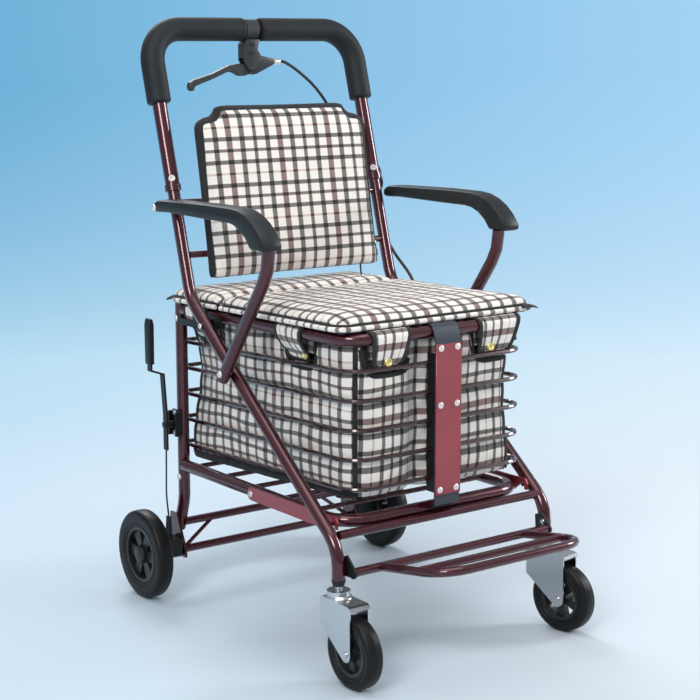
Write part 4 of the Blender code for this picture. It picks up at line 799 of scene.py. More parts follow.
def back_outline():
    """The backrest's face: square at the foot, and two small lobes at each upper corner."""
    hw, hh = BACK_HALF, BACK_RISE
    lobe = [(hw, hh - 0.040), (hw - 0.002, hh - 0.031), (hw - 0.008, hh - 0.0235), (hw - 0.018, hh - 0.0195),
            (hw - 0.031, hh - 0.0185), (hw - 0.035, hh - 0.0150), (hw - 0.037, hh - 0.0080),
            (hw - 0.043, hh - 0.0028), (hw - 0.052, hh - 0.0004), (hw - 0.062, hh)]
    foot = [(-hw, -hh + 0.008), (-hw + 0.003, -hh + 0.002), (-hw + 0.010, -hh)]
    right_foot = [(-x, y) for x, y in foot[::-1]]
    points = foot + right_foot + lobe + [(-x, y) for x, y in lobe[::-1]]
    return [Vector(p.xy) for p in evened([Vector((x, y, 0)) for x, y in points], 0.0055, True)]


def backrest():
    """The backrest cushion with its wrapped binding, the zip in its right side, and its hanging tab."""
    lean = math.atan(BACK_LEAN)
    normal = Vector((0, -math.cos(lean), math.sin(lean)))
    up = Vector((0, math.sin(lean), math.cos(lean)))
    middle_z = (BACK_LOW_Z + BACK_TOP_Z) / 2
    middle = spot(0, BACK_LOW_Y + BACK_LEAN * (middle_z - BACK_LOW_Z), middle_z) - normal * 0.0040
    place = Matrix.Translation(middle) @ Matrix((Vector((1, 0, 0)), up, normal)).transposed().to_4x4()
    outline = back_outline()
    mesh = stuffed(outline, 0.0125, 0.0060, 0.060, 0.0055, 0.0045)
    ripple(mesh, 22, 14, 7.0, 0.0008)
    lay_check(mesh, 0.0140, (0.004, 0.002), turned=BACK_RISE - 0.020)
    side = skirt_path(mesh, outline, 0.0055, 0.0002)

    def border(point):
        side_share = max(0.0, min(1.0, (point.y + BACK_RISE) / (BACK_RISE * 2)))
        return 0.0125 if point.y > BACK_RISE * 0.7 else 0.0080 + 0.0050 * side_share

    edge_wrap("backrest_binding", mesh, outline, place, 0.0050, border, -20, 96, "main_frame",
              lambda p: p.y > -BACK_RISE + 0.0015 or abs(p.x) > BACK_HALF - 0.004)
    mesh.transform(place)
    pad = piece_of(mesh, "backrest_pad", CHECK, "main_frame", 0)
    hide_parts("backrest_cushion")
    backrest_zip([pair for pair in side if pair[0].x > BACK_HALF * 0.9 and -0.10 < pair[0].y < 0.045], place)
    drop = [Vector((TAB_X + aside, -BACK_RISE + rise, out)) for aside, rise, out in (
        (0, 0.006, 0.002), (0, -0.004, 0.001), (0.0002, -0.012, 0.0015), (0.0005, -0.018, 0.002))]
    tubed("backrest_tab", curved(drop, 0.003), 0.0052, 10, TAPE, "main_frame", 38, 0.22, place=place)
    lathed("backrest_tab_snap", [(0.0040, -0.0004), (0.0040, 0.00045), (0.0036, 0.00076), (0.0028, 0.0014),
                                 (0.00144, 0.00175), (0, 0.0018)], drop[-1] + Vector((0, 0.004, 0.0012)),
           (0, 0, 1), 16, RIVET, "main_frame", place=place)


def backrest_zip(run, place):
    """The zip in the backrest's right side: its spine, two rows of teeth and the slider with its pull."""
    run.sort(key=lambda pair: pair[0].y)
    bm = bmesh.new()
    tape = [p + w * 0.0018 for p, w in run]
    tube_into(bm, evened(tape, 0.004), 0.0012, 8)
    for k, point in enumerate(evened(tape, 0.0022)):
        side_way = Vector((0, 0, 0.0014 if k % 2 else -0.0014))
        turned_into(bm, [(0, -0.0011), (0.0009, -0.0008), (0.0009, 0.0008), (0, 0.0011)], point + side_way,
                    (0, 0, 1), 6)
    bm.transform(place)
    finish_piece(bm, "backrest_zip", RIVET, "main_frame")
    end = tape[0]
    bm = bmesh.new()
    turned_into(bm, [(0, -0.004), (0.0026, -0.0035), (0.0032, 0.0), (0.0026, 0.0035), (0, 0.004)], end,
                (0, 1, 0), 12)
    tube_into(bm, [end + Vector((0.001, -0.004, 0.001)), end + Vector((0.002, -0.012, 0.0015)),
                   end + Vector((0.002, -0.020, 0.001))], [0.0010, 0.0018, 0.0022], 8)
    bm.transform(place)
    finish_piece(bm, "backrest_zip_slider", ZINC, "main_frame")


# Shopping bag

BAG_FRONT = -0.4474
BAG_REAR = 0.0225
BAG_FRONT_HALF = 0.1495
BAG_REAR_HALF = 0.1382
BAG_FLOOR_Z = 0.2460
BAG_FLOOR_FALL = 0.068
RAIL_TOP_Z = 0.4260
RAIL_PITCH = 0.0417
RAIL_FALL = 0.054
RAIL_FRONT_Y = -0.4550
BAG_ROWS = 36
SCALLOP_DEPTH = 0.0400
BAG_WIDE = 0.0228
BAG_SIDE_WIDE = 0.0248
BAG_SHORT = 0.0172
BAG_DRAG = 0.0042
BAG_SEED = 4
# Each strap's middle at the bag's rim, and half the width of the scallop that is cut for it
STRAP_ROOTS = ((-0.0925, BAG_FRONT, 0.042), (0.1036, BAG_FRONT, 0.047), (-0.146, -0.315, 0.042),
               (0.146, -0.315, 0.042), (-0.140, -0.060, 0.042), (0.140, -0.060, 0.042))
# Where each corner tape runs down, and its width
CORNER_TAPES = ((-BAG_REAR_HALF, BAG_REAR - 0.026, 0.0100), (-BAG_FRONT_HALF, BAG_FRONT, 0.0075),
                (BAG_FRONT_HALF - 0.013, BAG_FRONT, 0.0100), (BAG_REAR_HALF, BAG_REAR, 0.0100))


def bag_plan():
    """The bag's outline from above, its ways out and the run along it."""
    corners = [(-BAG_REAR_HALF, BAG_REAR, 0), (-BAG_FRONT_HALF, BAG_FRONT, 0), (BAG_FRONT_HALF, BAG_FRONT, 0),
               (BAG_REAR_HALF, BAG_REAR, 0)]
    plan = evened(rounded(corners, 0.030, closed=True), 0.0038, True)
    ways = ways_out(plan, sum(plan, Vector()) / len(plan))
    runs = [0.0]
    for a, b in zip(plan, plan[1:] + plan[:1]):
        runs.append(runs[-1] + (b - a).length)
    return plan, ways, runs


def bag_floor_z(y):
    return BAG_FLOOR_Z - BAG_FLOOR_FALL * (y - BAG_FRONT)


def bag_rim_z(point):
    """The rim reaches the seat tube between the straps, and a deep scallop is cut for each of them."""
    rim = seat_z(point.y, 0.4580)
    for x, y, half in STRAP_ROOTS:
        gap = math.hypot(point.x - x, point.y - y) / half
        if gap < 1:
            rim -= SCALLOP_DEPTH * (1 - gap ** 5) ** 0.45
    return rim


def bag_wall(point, way, run, z):
    """A point on the bag's wall: pushed out between the rails, wrinkled downwards, drawn in at the rear corners."""
    at_front = z + RAIL_FALL * (point.y - RAIL_FRONT_Y)
    between = abs(math.sin(math.pi * (at_front - RAIL_TOP_Z) / RAIL_PITCH))
    fold = noise.noise(Vector((run * 26, z * 7, 3.0))) + 0.5 * noise.noise(Vector((run * 70, z * 22, 9.0)))
    out = 0.0018 * between + 0.0022 * fold
    if point.y < BAG_FRONT + 0.002 and abs(point.x) < 0.034:
        out = min(out, -0.0006)
    low = bag_floor_z(point.y)
    corner = math.hypot(abs(point.x) - 0.138, point.y - BAG_REAR) / 0.085
    slack = 0.018 * math.exp(-corner ** 2) * math.exp(-((z - low - 0.140) / 0.065) ** 2)
    front_corner = math.hypot(point.x - BAG_FRONT_HALF, point.y - BAG_FRONT) / 0.060
    slack += 0.012 * math.exp(-front_corner ** 2) * math.exp(-((z - low - 0.120) / 0.090) ** 2)
    if point.y < BAG_FRONT + 0.010:
        slack += 0.0150 * math.exp(-((point.x + 0.038) / 0.017) ** 2)
    out = min(out, 0.0033) - slack
    foot = max(0.0, 1 - (z - low) / 0.012)
    out -= 0.006 * foot ** 2
    return point + way * out + Vector((0, 0, z - point.z))


def cloth_wall(mesh, name, thick):
    """A sheet of check cloth thickened to both sides."""
    mesh = worked(mesh, "SOLIDIFY", thickness=thick, offset=0.0)
    mesh.transform(FROM_AXLE)
    return piece_of(mesh, name, CHECK, "root", 0)


def bag():
    """The check shopping bag: a lofted wall that hangs from the seat frame, and a floor that sags on the slats."""
    noise.seed_set(BAG_SEED)
    plan, ways, runs = bag_plan()
    count = len(plan)
    bm = bmesh.new()
    lay = bm.loops.layers.uv.new("cloth")
    rings = []
    for j in range(BAG_ROWS + 1):
        share = j / BAG_ROWS
        ring = []
        for point, way, run in zip(plan, ways, runs):
            rim = bag_rim_z(point)
            z = rim + (bag_floor_z(point.y) - rim) * share
            ring.append(bm.verts.new(bag_wall(point, way, run, z)))
        rings.append(ring)
    for j in range(BAG_ROWS):
        for k in range(count):
            n = (k + 1) % count
            face = bm.faces.new((rings[j][k], rings[j][n], rings[j + 1][n], rings[j + 1][k]))
            for loop, run in zip(face.loops, (runs[k], runs[k + 1], runs[k + 1], runs[k])):
                at = loop.vert.co
                height = at.z + RAIL_FALL * (at.y - RAIL_FRONT_Y)
                drag = noise.noise_vector(Vector((at.x * 14, at.y * 14, at.z * 17))) * BAG_DRAG
                if abs(ways[k].x) > abs(ways[k].y):
                    loop[lay].uv = ((run + drag.x + 0.004) / BAG_SIDE_WIDE, (height + drag.y) / BAG_SHORT)
                else:
                    loop[lay].uv = ((height + drag.y) / BAG_WIDE, (run + drag.x + 0.004) / BAG_SHORT)
    middle = sum(plan, Vector()) / count
    floor = [rings[-1]]
    for step in range(1, 11):
        share = step / 11
        ring = []
        for vert in rings[-1]:
            aim = Vector((middle.x, max(BAG_FRONT + 0.12, min(BAG_REAR - 0.12, vert.co.y)), 0))
            flat = vert.co.lerp(aim, share)
            sag = 0.006 * (1 - (1 - share) ** 2)
            flat.z = bag_floor_z(flat.y) - sag + 0.0012 * noise.noise(Vector((flat.x * 30, flat.y * 24, 1.0)))
            ring.append(bm.verts.new(flat))
        floor.append(ring)
    faces = [face for upper, lower in zip(floor, floor[1:]) for face in join_rings(bm, upper, lower)]
    faces.append(bm.faces.new(floor[-1]))
    for face in faces:
        for loop in face.loops:
            loop[lay].uv = (loop.vert.co.x / CHECK_SHORT, loop.vert.co.y / CHECK_WIDE)
    bmesh.ops.triangulate(bm, faces=[faces[-1]])
    bmesh.ops.recalc_face_normals(bm, faces=bm.faces)
    made = cloth_wall(mesh_of(bm, "bag"), "shopping_bag_cloth", 0.0012)
    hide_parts("shopping_bag")
    bag_tapes(plan, ways, runs)


def bag_tapes(plan, ways, runs):
    """Black binding round each strap's scallop, down the four corners and along the floor's two side edges."""
    count = len(plan)
    for number, (x, y, half) in enumerate(STRAP_ROOTS):
        near = [k for k in range(count) if math.hypot(plan[k].x - x, plan[k].y - y) < half * 1.03]
        near.sort(key=lambda k: (plan[k].x - x) * (-ways[k].y) + (plan[k].y - y) * ways[k].x)
        rim = [(bag_wall(plan[k], ways[k], runs[k], bag_rim_z(plan[k]) - 0.0030), ways[k]) for k in near]
        bound_edge(f"bag_rim_tape_{number + 1}", rim, FROM_AXLE, 0.0086, 0.0026)
    for number, (x, y, width) in enumerate(CORNER_TAPES):
        k = min(range(count), key=lambda i: math.hypot(plan[i].x - x, plan[i].y - y))
        point, way, run = plan[k], ways[k], runs[k]
        top, low = bag_rim_z(point) - 0.004, bag_floor_z(point.y)
        drop = []
        for j in range(46):
            z = top + (low - top) * j / 45
            drop.append((bag_wall(point, way, run, z) + way * 0.0008, way))
        bound_edge(f"bag_corner_tape_{number + 1}", drop, FROM_AXLE, width, 0.0022)
    for side, label in BOTH_SIDES:
        row = [(plan[k], ways[k], runs[k]) for k in range(count)
               if plan[k].x * side > 0.125 and BAG_FRONT + 0.010 < plan[k].y < BAG_REAR - 0.010]
        row.sort(key=lambda item: item[0].y)
        edge = []
        for point, way, run in row:
            low = bag_floor_z(point.y)
            tilt = (way + Vector((0, 0, -0.25))).normalized()
            edge.append((bag_wall(point, way, run, low + 0.0050) + tilt * 0.0008, tilt))
        bound_edge(f"bag_foot_tape_{label}", edge, FROM_AXLE, 0.0140, 0.0026)


# How a strap starts and ends about the seat tube, as (out, up) from the tube's centre
STRAP_ENDS = {
    "front": ([(-0.0052, -0.030), (-0.0085, -0.014)],
              [(0.0094, -0.0110), (0.0066, -0.0240), (0.0030, -0.0350), (0.0010, -0.0420)]),
    "side": ([(-0.0158, -0.030), (-0.0150, -0.012)],
             [(0.0090, -0.0100), (0.0020, -0.0210), (-0.0070, -0.0310), (-0.0115, -0.0420)]),
}
STRAP_STEP = 0.0026
# Half sections, as (radius, along), of a snap, a screw head with its recess and a flat ring
SNAP = [(0.0064, -0.0006), (0.0064, 0.0009), (0.0058, 0.0016), (0.0040, 0.0016), (0.0034, 0.0008),
        (0.0018, 0.0008), (0.0010, 0.0013), (0, 0.0014)]
SCREW = [(0.0036, -0.0006), (0.0036, 0.0018), (0.0031, 0.0023), (0.0018, 0.0023), (0.0018, 0.0008), (0, 0.0008)]
FLAT_RING = [(0.0052, -0.0012), (0.0052, 0.0012), (0.0045, 0.0020), (0.0026, 0.0020), (0.0021, 0.0004), (0, 0.0004)]
STRAP_COLUMNS = 12
STRAP_END_R = 0.009


def strap_route(kind):
    """The strap's section about the seat tube."""
    start, end = STRAP_ENDS[kind]
    over = TUBE_R + 0.0008
    bend = [(over * math.sin(a), over * math.cos(a)) for a in (math.radians(d) for d in range(-60, 91, 15))]
    return evened([Vector((out, up, 0)) for out, up in start + bend + end], STRAP_STEP)


def strap(name, kind, centre, out, along, half, tip, tip_shift, snap):
    """A bag strap folded over the seat tube, bound in black and closed with a snap."""
    centre, out, along = Vector(centre), Vector(out), Vector(along)
    route = strap_route(kind)
    total = len(route) - 1
    length = total * STRAP_STEP
    columns = STRAP_COLUMNS
    bm = bmesh.new()
    lay = bm.loops.layers.uv.new("cloth")
    grid = []
    for i, section in enumerate(route):
        gone = max(0.0, (i / total - 0.30) / 0.70)
        width = half + (tip - half) * gone
        left = length * (1 - i / total)
        if left < STRAP_END_R:
            width -= STRAP_END_R - math.sqrt(STRAP_END_R ** 2 - (STRAP_END_R - left) ** 2)
        row = []
        for j in range(columns + 1):
            aside = tip_shift * gone + width * (2 * j / columns - 1)
            soft = 0.0006 * noise.noise(Vector((aside * 60, i * 0.2, centre.y * 40)))
            row.append(bm.verts.new(centre + out * (section.x + soft) + along * aside
                                    + Vector((0, 0, section.y))))
        grid.append(row)
    for i in range(total):
        for j in range(columns):
            face = bm.faces.new((grid[i][j], grid[i][j + 1], grid[i + 1][j + 1], grid[i + 1][j]))
            for loop, (row, column) in zip(face.loops, ((i, j), (i, j + 1), (i + 1, j + 1), (i + 1, j))):
                aside = half * (2 * column / columns - 1)
                loop[lay].uv = (row * STRAP_STEP / BAG_WIDE + 0.2, aside / BAG_SHORT + 0.3)
    bmesh.ops.recalc_face_normals(bm, faces=bm.faces)
    rim = [row[0] for row in grid] + grid[-1][1:-1] + [row[-1] for row in grid[::-1]]
    bm.normal_update()
    edge = [(vert.co.copy(), vert.normal.copy()) for vert in rim]
    ahead = grid[total // 2][columns // 2].normal
    if ahead.dot(out) < 0:
        bmesh.ops.reverse_faces(bm, faces=bm.faces)
        edge = [(point, -normal) for point, normal in edge]
    cloth_wall(mesh_of(bm, name), name, 0.0010)
    bound_edge(f"{name}_binding", edge, FROM_AXLE, 0.0076, 0.0024)
    aside, up = snap
    outer = [p for p in route if p.y < 0 and p.x > (0 if kind == "front" else -0.013)]
    near = min(outer, key=lambda p: abs(p.y - up))
    lathed(f"{name}_snap", SNAP, spot(*(centre + out * (near.x + 0.0008) + along * aside + Vector((0, 0, near.y)))),
           out, 20, BRASS, "root")


def straps():
    for label, x, half, tip, shift, snap in (("left", -0.0925, 0.0345, 0.0240, -0.0035, (-0.0037, -0.0340)),
                                             ("right", 0.1036, 0.0400, 0.0280, -0.0060, (-0.0148, -0.0320))):
        strap(f"bag_strap_front_{label}", "front", (x, SEAT_FRONT_Y, SEAT_FRONT_Z), (0, -1, 0), (1, 0, 0),
              half, tip, shift, snap)
    for side, label in BOTH_SIDES:
        for y, place in ((-0.315, "front"), (-0.060, "rear")):
            centre = (side * SEAT_TUBE_X, y, seat_z(y, SEAT_FRONT_Z))
            strap(f"bag_strap_{label}_{place}", "side", centre, (side, 0, 0), (0, 1, 0), 0.0340, 0.0240, 0.0,
                  (-0.020, -0.0330))


# Handle grips and fittings

GRIP_R = 0.0185
GRIP_BEND = 0.055
GRIP_LOW_Z = 0.7762
# Where each foam sleeve ends beside the clamp
GRIP_INNER_X = {"right": 0.0100, "left": -0.0200}
# How the sleeves' ends are rounded: the step from the end, and the radius that is missing there
GRIP_END = ((0.0, 0.0034), (0.0006, 0.0018), (0.0016, 0.0007), (0.0032, 0.0))


def grip_ends(path):
    """The path with close steps at both ends, and the grip's radius at each step."""
    first = (path[1] - path[0]).normalized()
    last = (path[-2] - path[-1]).normalized()
    head = [path[0] + first * d for d, _ in GRIP_END]
    tail = [path[-1] + last * d for d, _ in GRIP_END]
    rounding = [GRIP_R - c for _, c in GRIP_END]
    return head + path[1:-1] + tail[::-1], rounding + [GRIP_R] * (len(path) - 2) + rounding[::-1]


def grips():
    """Long foam sleeves over the handle's corners."""
    for side, label in BOTH_SIDES[::-1]:
        corner = rounded([(side * SIDE_X, upper_y(GRIP_LOW_Z), GRIP_LOW_Z), (side * SIDE_X, HANDLE_Y, HANDLE_Z),
                          (GRIP_INNER_X[label], HANDLE_Y, HANDLE_Z)], GRIP_BEND, step=math.radians(5))
        points, radii = grip_ends(evened(corner, 0.0060))
        made = tubed(f"grip_sleeve_{label}", [spot(*p) for p in points], radii, 32, FOAM, "handle", 50)
        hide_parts(f"handle_grip_{label}")


# Fasteners of each side: their distance from the middle, y and height, radius and rise, and body
SIDE_HEADS = (("fold_rivet", [(0.1995, *PIVOT)], 0.0052, 0.0046, "main_frame"),
              ("arm_rivet", [(0.2194, -0.2110, 0.3926)], 0.0054, 0.0028, "main_frame"),
              ("stay_rivet", [(0.1777, -0.2250, 0.2090)], 0.0052, 0.0024, "stay"),
              ("post_rivets", [(0.1686, 0, 0.1855), (0.1686, 0, 0.4425)], 0.0050, 0.0026, "root"))
PLATE_RIVET_X = 0.0148
PLATE_RIVET_ZS = (0.4470, 0.3655, 0.2425)
HANDLE_SCREW_Z = 0.6653


def heads(name, places, axis, radius, height, material, body):
    """Rivet heads with a dimple, as one piece."""
    bm = bmesh.new()
    for place in places:
        turned_into(bm, [(radius, -0.0006), (radius, height * 0.30), (radius * 0.90, height * 0.55),
                         (radius * 0.70, height * 0.88), (radius * 0.46, height), (radius * 0.34, height * 0.96),
                         (radius * 0.26, height * 0.45), (0, height * 0.40)], spot(*place), axis, 16)
    finish_piece(bm, name, material, body)


def rivets():
    for side, label in BOTH_SIDES:
        for name, places, radius, height, body in SIDE_HEADS:
            heads(f"{name}_{label}", [(side * x, y, z) for x, y, z in places], (side, 0, 0), radius, height, RIVET,
                  f"stay_{label}" if body == "stay" else body)
        screw_y = upper_y(HANDLE_SCREW_Z) - 0.0098
        lathed(f"handle_screw_{label}", FLAT_RING, spot(side * SIDE_X - 0.0050, screw_y, HANDLE_SCREW_Z),
               (-0.45, -0.87, 0.24), 24, RIVET, "handle")
        heads(f"arm_pad_rivet_{label}", [(side * 0.2335, -0.0535, 0.6235)], (side, 0, 0), 0.0050, 0.0026, RIVET,
              "main_frame")
        heads(f"footrest_bolt_{label}", [(side * 0.1776, -0.4760, 0.1650)], (-side, 0, 0), 0.0046, 0.0022,
              ZINC, "main_frame")
    heads("parking_bracket_rivets", [(-0.1716, 0.0060, z) for z in (0.2900, 0.2580)], (-1, 0, 0), 0.0042, 0.0018,
          RIVET, "root")
    heads("plate_rivets", [(x, -0.4690, z) for z in PLATE_RIVET_ZS for x in (-PLATE_RIVET_X, PLATE_RIVET_X)],
          (0, -1, 0), 0.0048, 0.0020, RIVET, "root")
    bm = bmesh.new()
    for x, z in ((-0.0065, 0.8655), (-0.0080, 0.8525)):
        turned_into(bm, SCREW, spot(x, HANDLE_Y - 0.0095, z), (0, -1, 0), 20)
    finish_piece(bm, "clamp_screws", LEVER_COAT, "handle")
    heads("lever_pin_head", [(-0.0075, HANDLE_Y - 0.0102, 0.8262)], (0, -1, 0), 0.0040, 0.0016, LEVER_COAT, "handle")


PLATE_LOW_Z = 0.4340
PLATE_TOP_Z = 0.4630
PLATE_REAR_Y = -0.0580
PLATE_THICK = 0.0030
PLATE_NOSE_R = 0.013
TAB_FRONT_Y = -0.0640
TAB_REAR_Y = -0.0100
TAB_TOP_Z = 0.4455
BOSS_R = 0.0085


def side_plates():
    """The black plate each side that carries the fold pivot, with its hidden tab back to the post."""
    inner = SEAT_TUBE_X + TUBE_R + 0.0003
    low = PLATE_LOW_Z
    nose = [(PIVOT[0] + PLATE_NOSE_R * math.cos(a), PIVOT[1] + PLATE_NOSE_R * math.sin(a))
            for a in (math.radians(110 + 140 * k / 8) for k in range(9))]
    plate = [(PLATE_REAR_Y, low), (PLATE_REAR_Y, PLATE_TOP_Z)] + nose
    tab = [(TAB_FRONT_Y, low + 0.001), (TAB_REAR_Y, low + 0.001), (TAB_REAR_Y, TAB_TOP_Z), (TAB_FRONT_Y, TAB_TOP_Z)]
    for side, label in BOTH_SIDES:
        bm = bmesh.new()
        slab_into(bm, [(y + AXLE_Y, z) for y, z in plate], "YZ", side * inner, side * (inner + PLATE_THICK))
        slab_into(bm, [(y + AXLE_Y, z) for y, z in tab], "YZ", side * (POST_X - 0.0085), side * (inner + 0.0005))
        turned_into(bm, [(BOSS_R, 0.0), (BOSS_R, SIDE_X - TUBE_R - 0.0006 - inner)],
                    spot(side * inner, *PIVOT), (side, 0, 0), 24)
        made = finish_piece(bm, f"pivot_plate_{label}", BLACK_COAT, "root")
        soft = made.modifiers.new("Soft edges", "BEVEL")
        soft.width = 0.0005
        soft.segments = 2
        soft.limit_method = "ANGLE"
        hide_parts(f"side_bracket_{label}")


def cable_barrel():
    """The end barrel of the brake cable at the lever."""
    lathed("cable_barrel", [(0.0034, -0.0130), (0.0050, -0.0125), (0.0050, -0.0020), (0.0044, 0), (0.0030, 0.0014),
                            (0.0026, 0.0016)], spot(0.0510, HANDLE_Y, CABLE_START[1]), (1, 0, 0), 20, RIVET, "handle")


# Wheels

def tyre(name, body, node, centre, radius, rim, turn):
    """A solid tyre with rounded shoulders, a raised tread band and a step beside the rim."""
    half = TYRE_WIDE / 2
    inner = radius * rim + RIM_GAP
    profile = [(inner, -half * 0.86), (inner + 0.0014, -half * 0.96), (inner + 0.0042, -half * 0.97),
               (inner + 0.0048, -half * 0.92), (inner + 0.0060, -half * 0.92), (inner + 0.0068, -half * 0.985),
               (radius - 0.0098, -half), (radius - 0.0052, -half * 0.975), (radius - 0.0026, -half * 0.90),
               (radius - 0.0008, -half * 0.74), (radius - 0.0001, -half * 0.52), (radius, -half * 0.10),
               (radius + 0.0003, 0.0)]
    profile += [(r, -a) for r, a in profile[-2::-1]]
    bm = bmesh.new()
    turned_into(bm, profile + [profile[0]], centre, turn, 72)
    bmesh.ops.remove_doubles(bm, verts=bm.verts, dist=0.00001)
    made = finish_piece(bm, name, TYRE, body, 40)
    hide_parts(node)


def wheels():
    for side, label in BOTH_SIDES:
        tyre(f"rear_tread_{label}", f"rear_wheel_{label}", f"rear_tyre_{label}", spot(side * WHEEL_X, 0, WHEEL_R),
             WHEEL_R, 0.64, (1, 0, 0))
        lathed(f"hub_cap_{label}", [(0.0142, -0.0010), (0.0142, 0.0008), (0.0134, 0.0020), (0.0110, 0.0032),
                                    (0.0060, 0.0042), (0, 0.0045)], spot(side * 0.2430, 0, WHEEL_R), (side, 0, 0), 32,
               HUB, f"rear_wheel_{label}")
    for side, label in BOTH_SIDES:
        turn = Matrix.Rotation(math.radians(CASTER_TURNS[label]), 3, "Z")
        middle = spot(side * SIDE_X, LEG_Y, 0) + turn @ Vector((0, -CASTER_TRAIL, CASTER_R))
        tyre(f"caster_tread_{label}", f"caster_wheel_{label}", f"caster_tyre_{label}", middle, CASTER_R, 0.66,
             turn @ Vector((1, 0, 0)))


# Cables

CLIP = (SIDE_X + 0.0180, upper_y(0.6500) + 0.0060, 0.6500)
SLIDE = Vector((0, UPPER_LEAN, 1)).normalized()
BRAKE_CABLE_R = 0.0025
PARK_CABLE_R = 0.0014


def cable(name, node, points, radius, spacing=0.0060):
    """A cable through the points, from its start to its end."""
    path = curved([spot(*p) for p in points], spacing)
    made = tubed(name, path, radius, 12, CABLE, None)
    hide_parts(node)
    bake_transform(made)


def cables():
    """The hand brake's cable from the lever to the right wheel, and the parking brake's to the left wheel."""
    clip = Vector(CLIP)
    rise = HANDLE_Z - CLIP[2]
    upper = [(CABLE_START[0], HANDLE_Y, CABLE_START[1]), (0.0570, HANDLE_Y, CABLE_START[1])]
    upper += [(x, HANDLE_Y + y, CLIP[2] + rise * share) for x, y, share in (
        (0.0660, 0.0, 0.7740), (0.0880, -0.001, 0.7180), (0.1180, -0.004, 0.6134), (0.1440, -0.008, 0.4706),
        (0.1670, -0.014, 0.2941), (0.1870, -0.0303, 0.2101), (0.2040, -0.0433, 0.1218))]
    upper += [clip + SLIDE * 0.012, clip]
    lower = [clip - SLIDE * 0.0006, clip - SLIDE * 0.015, (0.2090, -0.0180, 0.5850), (0.2090, -0.0650, 0.5300),
             (0.2100, -0.1190, 0.4834), (0.2140, -0.1220, 0.4300), (0.2120, -0.0900, 0.3500),
             (0.2060, -0.0450, 0.2500), (0.1950, -0.0110, 0.1750), (SIDE_X - 0.001, -0.001, 0.1400),
             (SIDE_X - 0.001, -0.001, 0.1243)]
    park = [(-PARK_X, 0, 0.2327), (-PARK_X, 0.0010, 0.2000), (-SIDE_X - 0.001, 0.0010, 0.1600),
            (-SIDE_X + 0.001, -0.001, 0.1243)]
    cable("hand_brake_cable", "brake_cable_upper", upper, BRAKE_CABLE_R)
    cable("wheel_brake_cable", "brake_cable_lower", lower, BRAKE_CABLE_R)
    cable("parking_brake_cable", "parking_cable", park, PARK_CABLE_R,
          0.0045)


# Camera, floor and light

def place_camera():
    data = bpy.data.cameras.new("photo_view")
    data.lens = 84.71
    data.sensor_width = 36.0
    data.clip_end = 200.0
    made = placed("photo_view", data)
    made.location = (-1.4515, -1.9431, 0.8665)
    made.rotation_euler = (math.radians(79.45), 0.0, math.radians(-36.11))
    scene.camera = made


# Backdrop colours from the walker outwards, and the paler ones towards the right
FLOOR_LEFT = (0.50, 0.625, 0.735, 1)
FLOOR_RIGHT = (0.595, 0.655, 0.715, 1)
NEAR_LEFT = (0.70, 0.83, 0.965, 1)
NEAR_RIGHT = (0.88, 0.93, 0.975, 1)
MID_LEFT = (0.49, 0.737, 0.905, 1)
MID_RIGHT = (0.68, 0.855, 0.982, 1)
FAR_LEFT = (0.147, 0.429, 0.686, 1)
FAR_RIGHT = (0.361, 0.651, 0.913, 1)
RIGHTWARDS = (0.808, -0.589, 0.0)
BACKWARDS = (0.589, 0.808, 0.0)
# Where the backdrop's blue begins behind the walker, and how fast it deepens
BLUE_START = 2.1
BLUE_RATE = 1.2
# How wide the pale side's fan opens, from a point ahead of the walker
FAN_POINT = 2.6
FAN_HALF = 0.2125
FLOOR_REACH = 40.0
FLOOR_RINGS = (0.6, 1.2, 2.4, 5.0, 12.0, FLOOR_REACH)
# The lit floor fades into the backdrop between these distances
FADE_FROM = 0.55
FADE_TO = 1.6
# The light of the room from below and from above, and how much of the backdrop glossy surfaces mirror
ROOM_LOW = (0.34, 0.42, 0.50, 1)
ROOM_HIGH = (1.0, 1.0, 1.0, 1)
ROOM_STRENGTH = 0.50
MIRRORED = 0.12
# Lamps: place, watts, size and tint
LAMPS = {"key": ((-2.8, -1.8, 2.4), 70.0, 1.2, (1, 0.98, 0.96)),
         "fill": ((2.9, -1.2, 1.6), 58.0, 0.9, (0.97, 0.98, 1)),
         "rim": ((0.6, 2.6, 2.5), 46.0, 1.4, (0.96, 0.98, 1)),
         "top": ((-0.3, -0.6, 3.2), 36.0, 2.2, (1, 1, 1))}
LAMP_AIM = Vector((0, 0, 0.45))


def backdrop_at(tree, place):
    """The backdrop's colour at a place on the floor, and how far that place lies towards the pale side."""
    back, right = (add(tree, "VectorMath", {0: place, 1: way}, operation="DOT_PRODUCT").outputs["Value"]
                   for way in (BACKWARDS, RIGHTWARDS))
    spread = maths(tree, "MAXIMUM", maths(tree, "ADD", back, FAN_POINT), 0.8)
    to_right = add(tree, "MapRange", {"Value": maths(tree, "DIVIDE", right, spread), "From Min": -FAN_HALF,
                                      "From Max": FAN_HALF}).outputs[0]
    behind = add(tree, "MapRange", {"Value": back, "From Min": -0.4, "From Max": BLUE_START}).outputs[0]
    reach = maths(tree, "DIVIDE", BLUE_START, maths(tree, "MAXIMUM", back, BLUE_START))
    deep = maths(tree, "SUBTRACT", 1.0, maths(tree, "POWER", reach, BLUE_RATE))
    mid = blend_colour(tree, behind, blend_colour(tree, to_right, NEAR_LEFT, NEAR_RIGHT),
                       blend_colour(tree, to_right, MID_LEFT, MID_RIGHT))
    return blend_colour(tree, deep, mid, blend_colour(tree, to_right, FAR_LEFT, FAR_RIGHT)), to_right


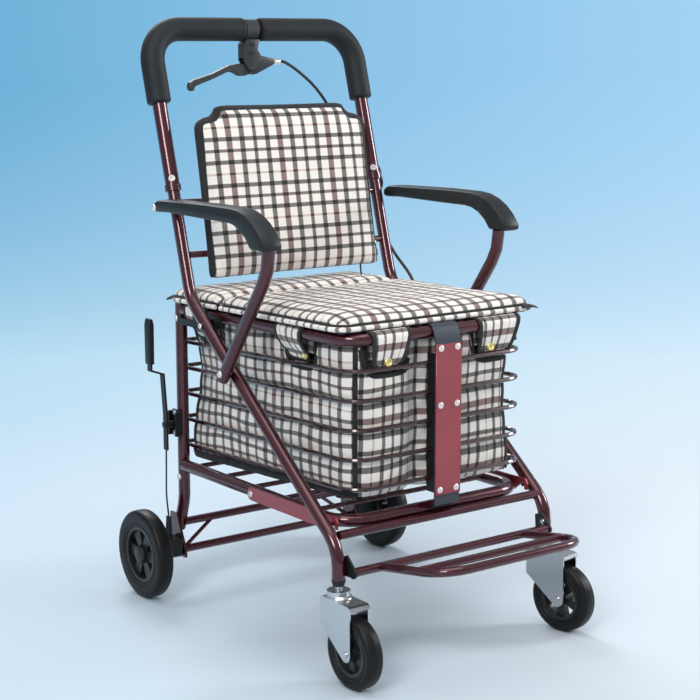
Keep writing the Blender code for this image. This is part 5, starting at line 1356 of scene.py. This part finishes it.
def lay_floor():
    """A pale floor that fades into the backdrop's blue behind the walker."""
    bm = bmesh.new()
    sides = 64
    middle = bm.verts.new((0, 0, 0))
    previous = None
    for radius in FLOOR_RINGS:
        ring = [bm.verts.new((radius * math.cos(math.tau * k / sides), radius * math.sin(math.tau * k / sides), 0))
                for k in range(sides)]
        for k in range(sides):
            n = (k + 1) % sides
            if previous:
                bm.faces.new((previous[k], ring[k], ring[n], previous[n]))
            else:
                bm.faces.new((middle, ring[k], ring[n]))
        previous = ring
    mesh = mesh_of(bm, "floor")
    material, tree, shader = new_finish("pale_floor", Roughness=0.60, Specular_IOR_Level=0.25)
    place = add(tree, "TexCoord").outputs["Object"]
    last, to_right = backdrop_at(tree, place)
    tree.links.new(blend_colour(tree, to_right, FLOOR_LEFT, FLOOR_RIGHT), shader.inputs["Base Color"])
    glow = add(tree, "Emission", {"Color": last})
    distance = add(tree, "VectorMath", {0: place}, operation="LENGTH").outputs["Value"]
    fade = add(tree, "MapRange", {"Value": distance, "From Min": FADE_FROM, "From Max": FADE_TO},
               interpolation_type="SMOOTHSTEP").outputs[0]
    mix = add(tree, "MixShader", {0: fade, 1: shader.outputs[0], 2: glow.outputs[0]})
    tree.links.new(mix.outputs[0], tree.nodes["Material Output"].inputs["Surface"])
    mesh.materials.append(material)
    placed("floor", mesh)


def light_room():
    """Soft studio light: a pale room that the camera sees as the blue backdrop, and four large lamps."""
    world = bpy.data.worlds.new("studio")
    scene.world = world
    world.use_nodes = True
    tree = world.node_tree
    ground = tree.nodes["Background"]
    ground.inputs["Strength"].default_value = ROOM_STRENGTH
    ways = add(tree, "TexCoord").outputs["Generated"]
    height = add(tree, "SeparateXYZ", {"Vector": ways}).outputs["Z"]
    rise = add(tree, "MapRange", {"Value": height, "From Min": -0.15, "From Max": 0.75},
               interpolation_type="SMOOTHSTEP").outputs[0]
    tree.links.new(blend_colour(tree, rise, ROOM_LOW, ROOM_HIGH), ground.inputs["Color"])
    far_off = add(tree, "VectorMath", {0: ways, "Scale": FLOOR_REACH}, operation="SCALE").outputs[0]
    backdrop = add(tree, "Background", {"Color": backdrop_at(tree, far_off)[0], "Strength": 1.0})
    path = add(tree, "LightPath").outputs
    glossy = maths(tree, "MULTIPLY", path["Is Glossy Ray"], MIRRORED)
    seen = maths(tree, "MAXIMUM", maths(tree, "MAXIMUM", path["Is Camera Ray"], glossy), path["Is Transmission Ray"])
    mix = add(tree, "MixShader", {0: seen, 1: ground.outputs[0], 2: backdrop.outputs[0]})
    tree.links.new(mix.outputs[0], tree.nodes["World Output"].inputs["Surface"])
    for name, (place, power, size, tint) in LAMPS.items():
        data = bpy.data.lights.new(name, "AREA")
        data.energy = power
        data.size = size
        data.color = tint
        made = placed(name, data)
        made.location = place
        made.rotation_euler = (LAMP_AIM - Vector(place)).to_track_quat("-Z", "Y").to_euler()


scene.view_settings.view_transform = "Standard"
place_camera()
cables()
dress_nodes()
seat_pads()
backrest()
bag()
straps()
grips()
rivets()
side_plates()
cable_barrel()
wheels()
lay_floor()
light_room()
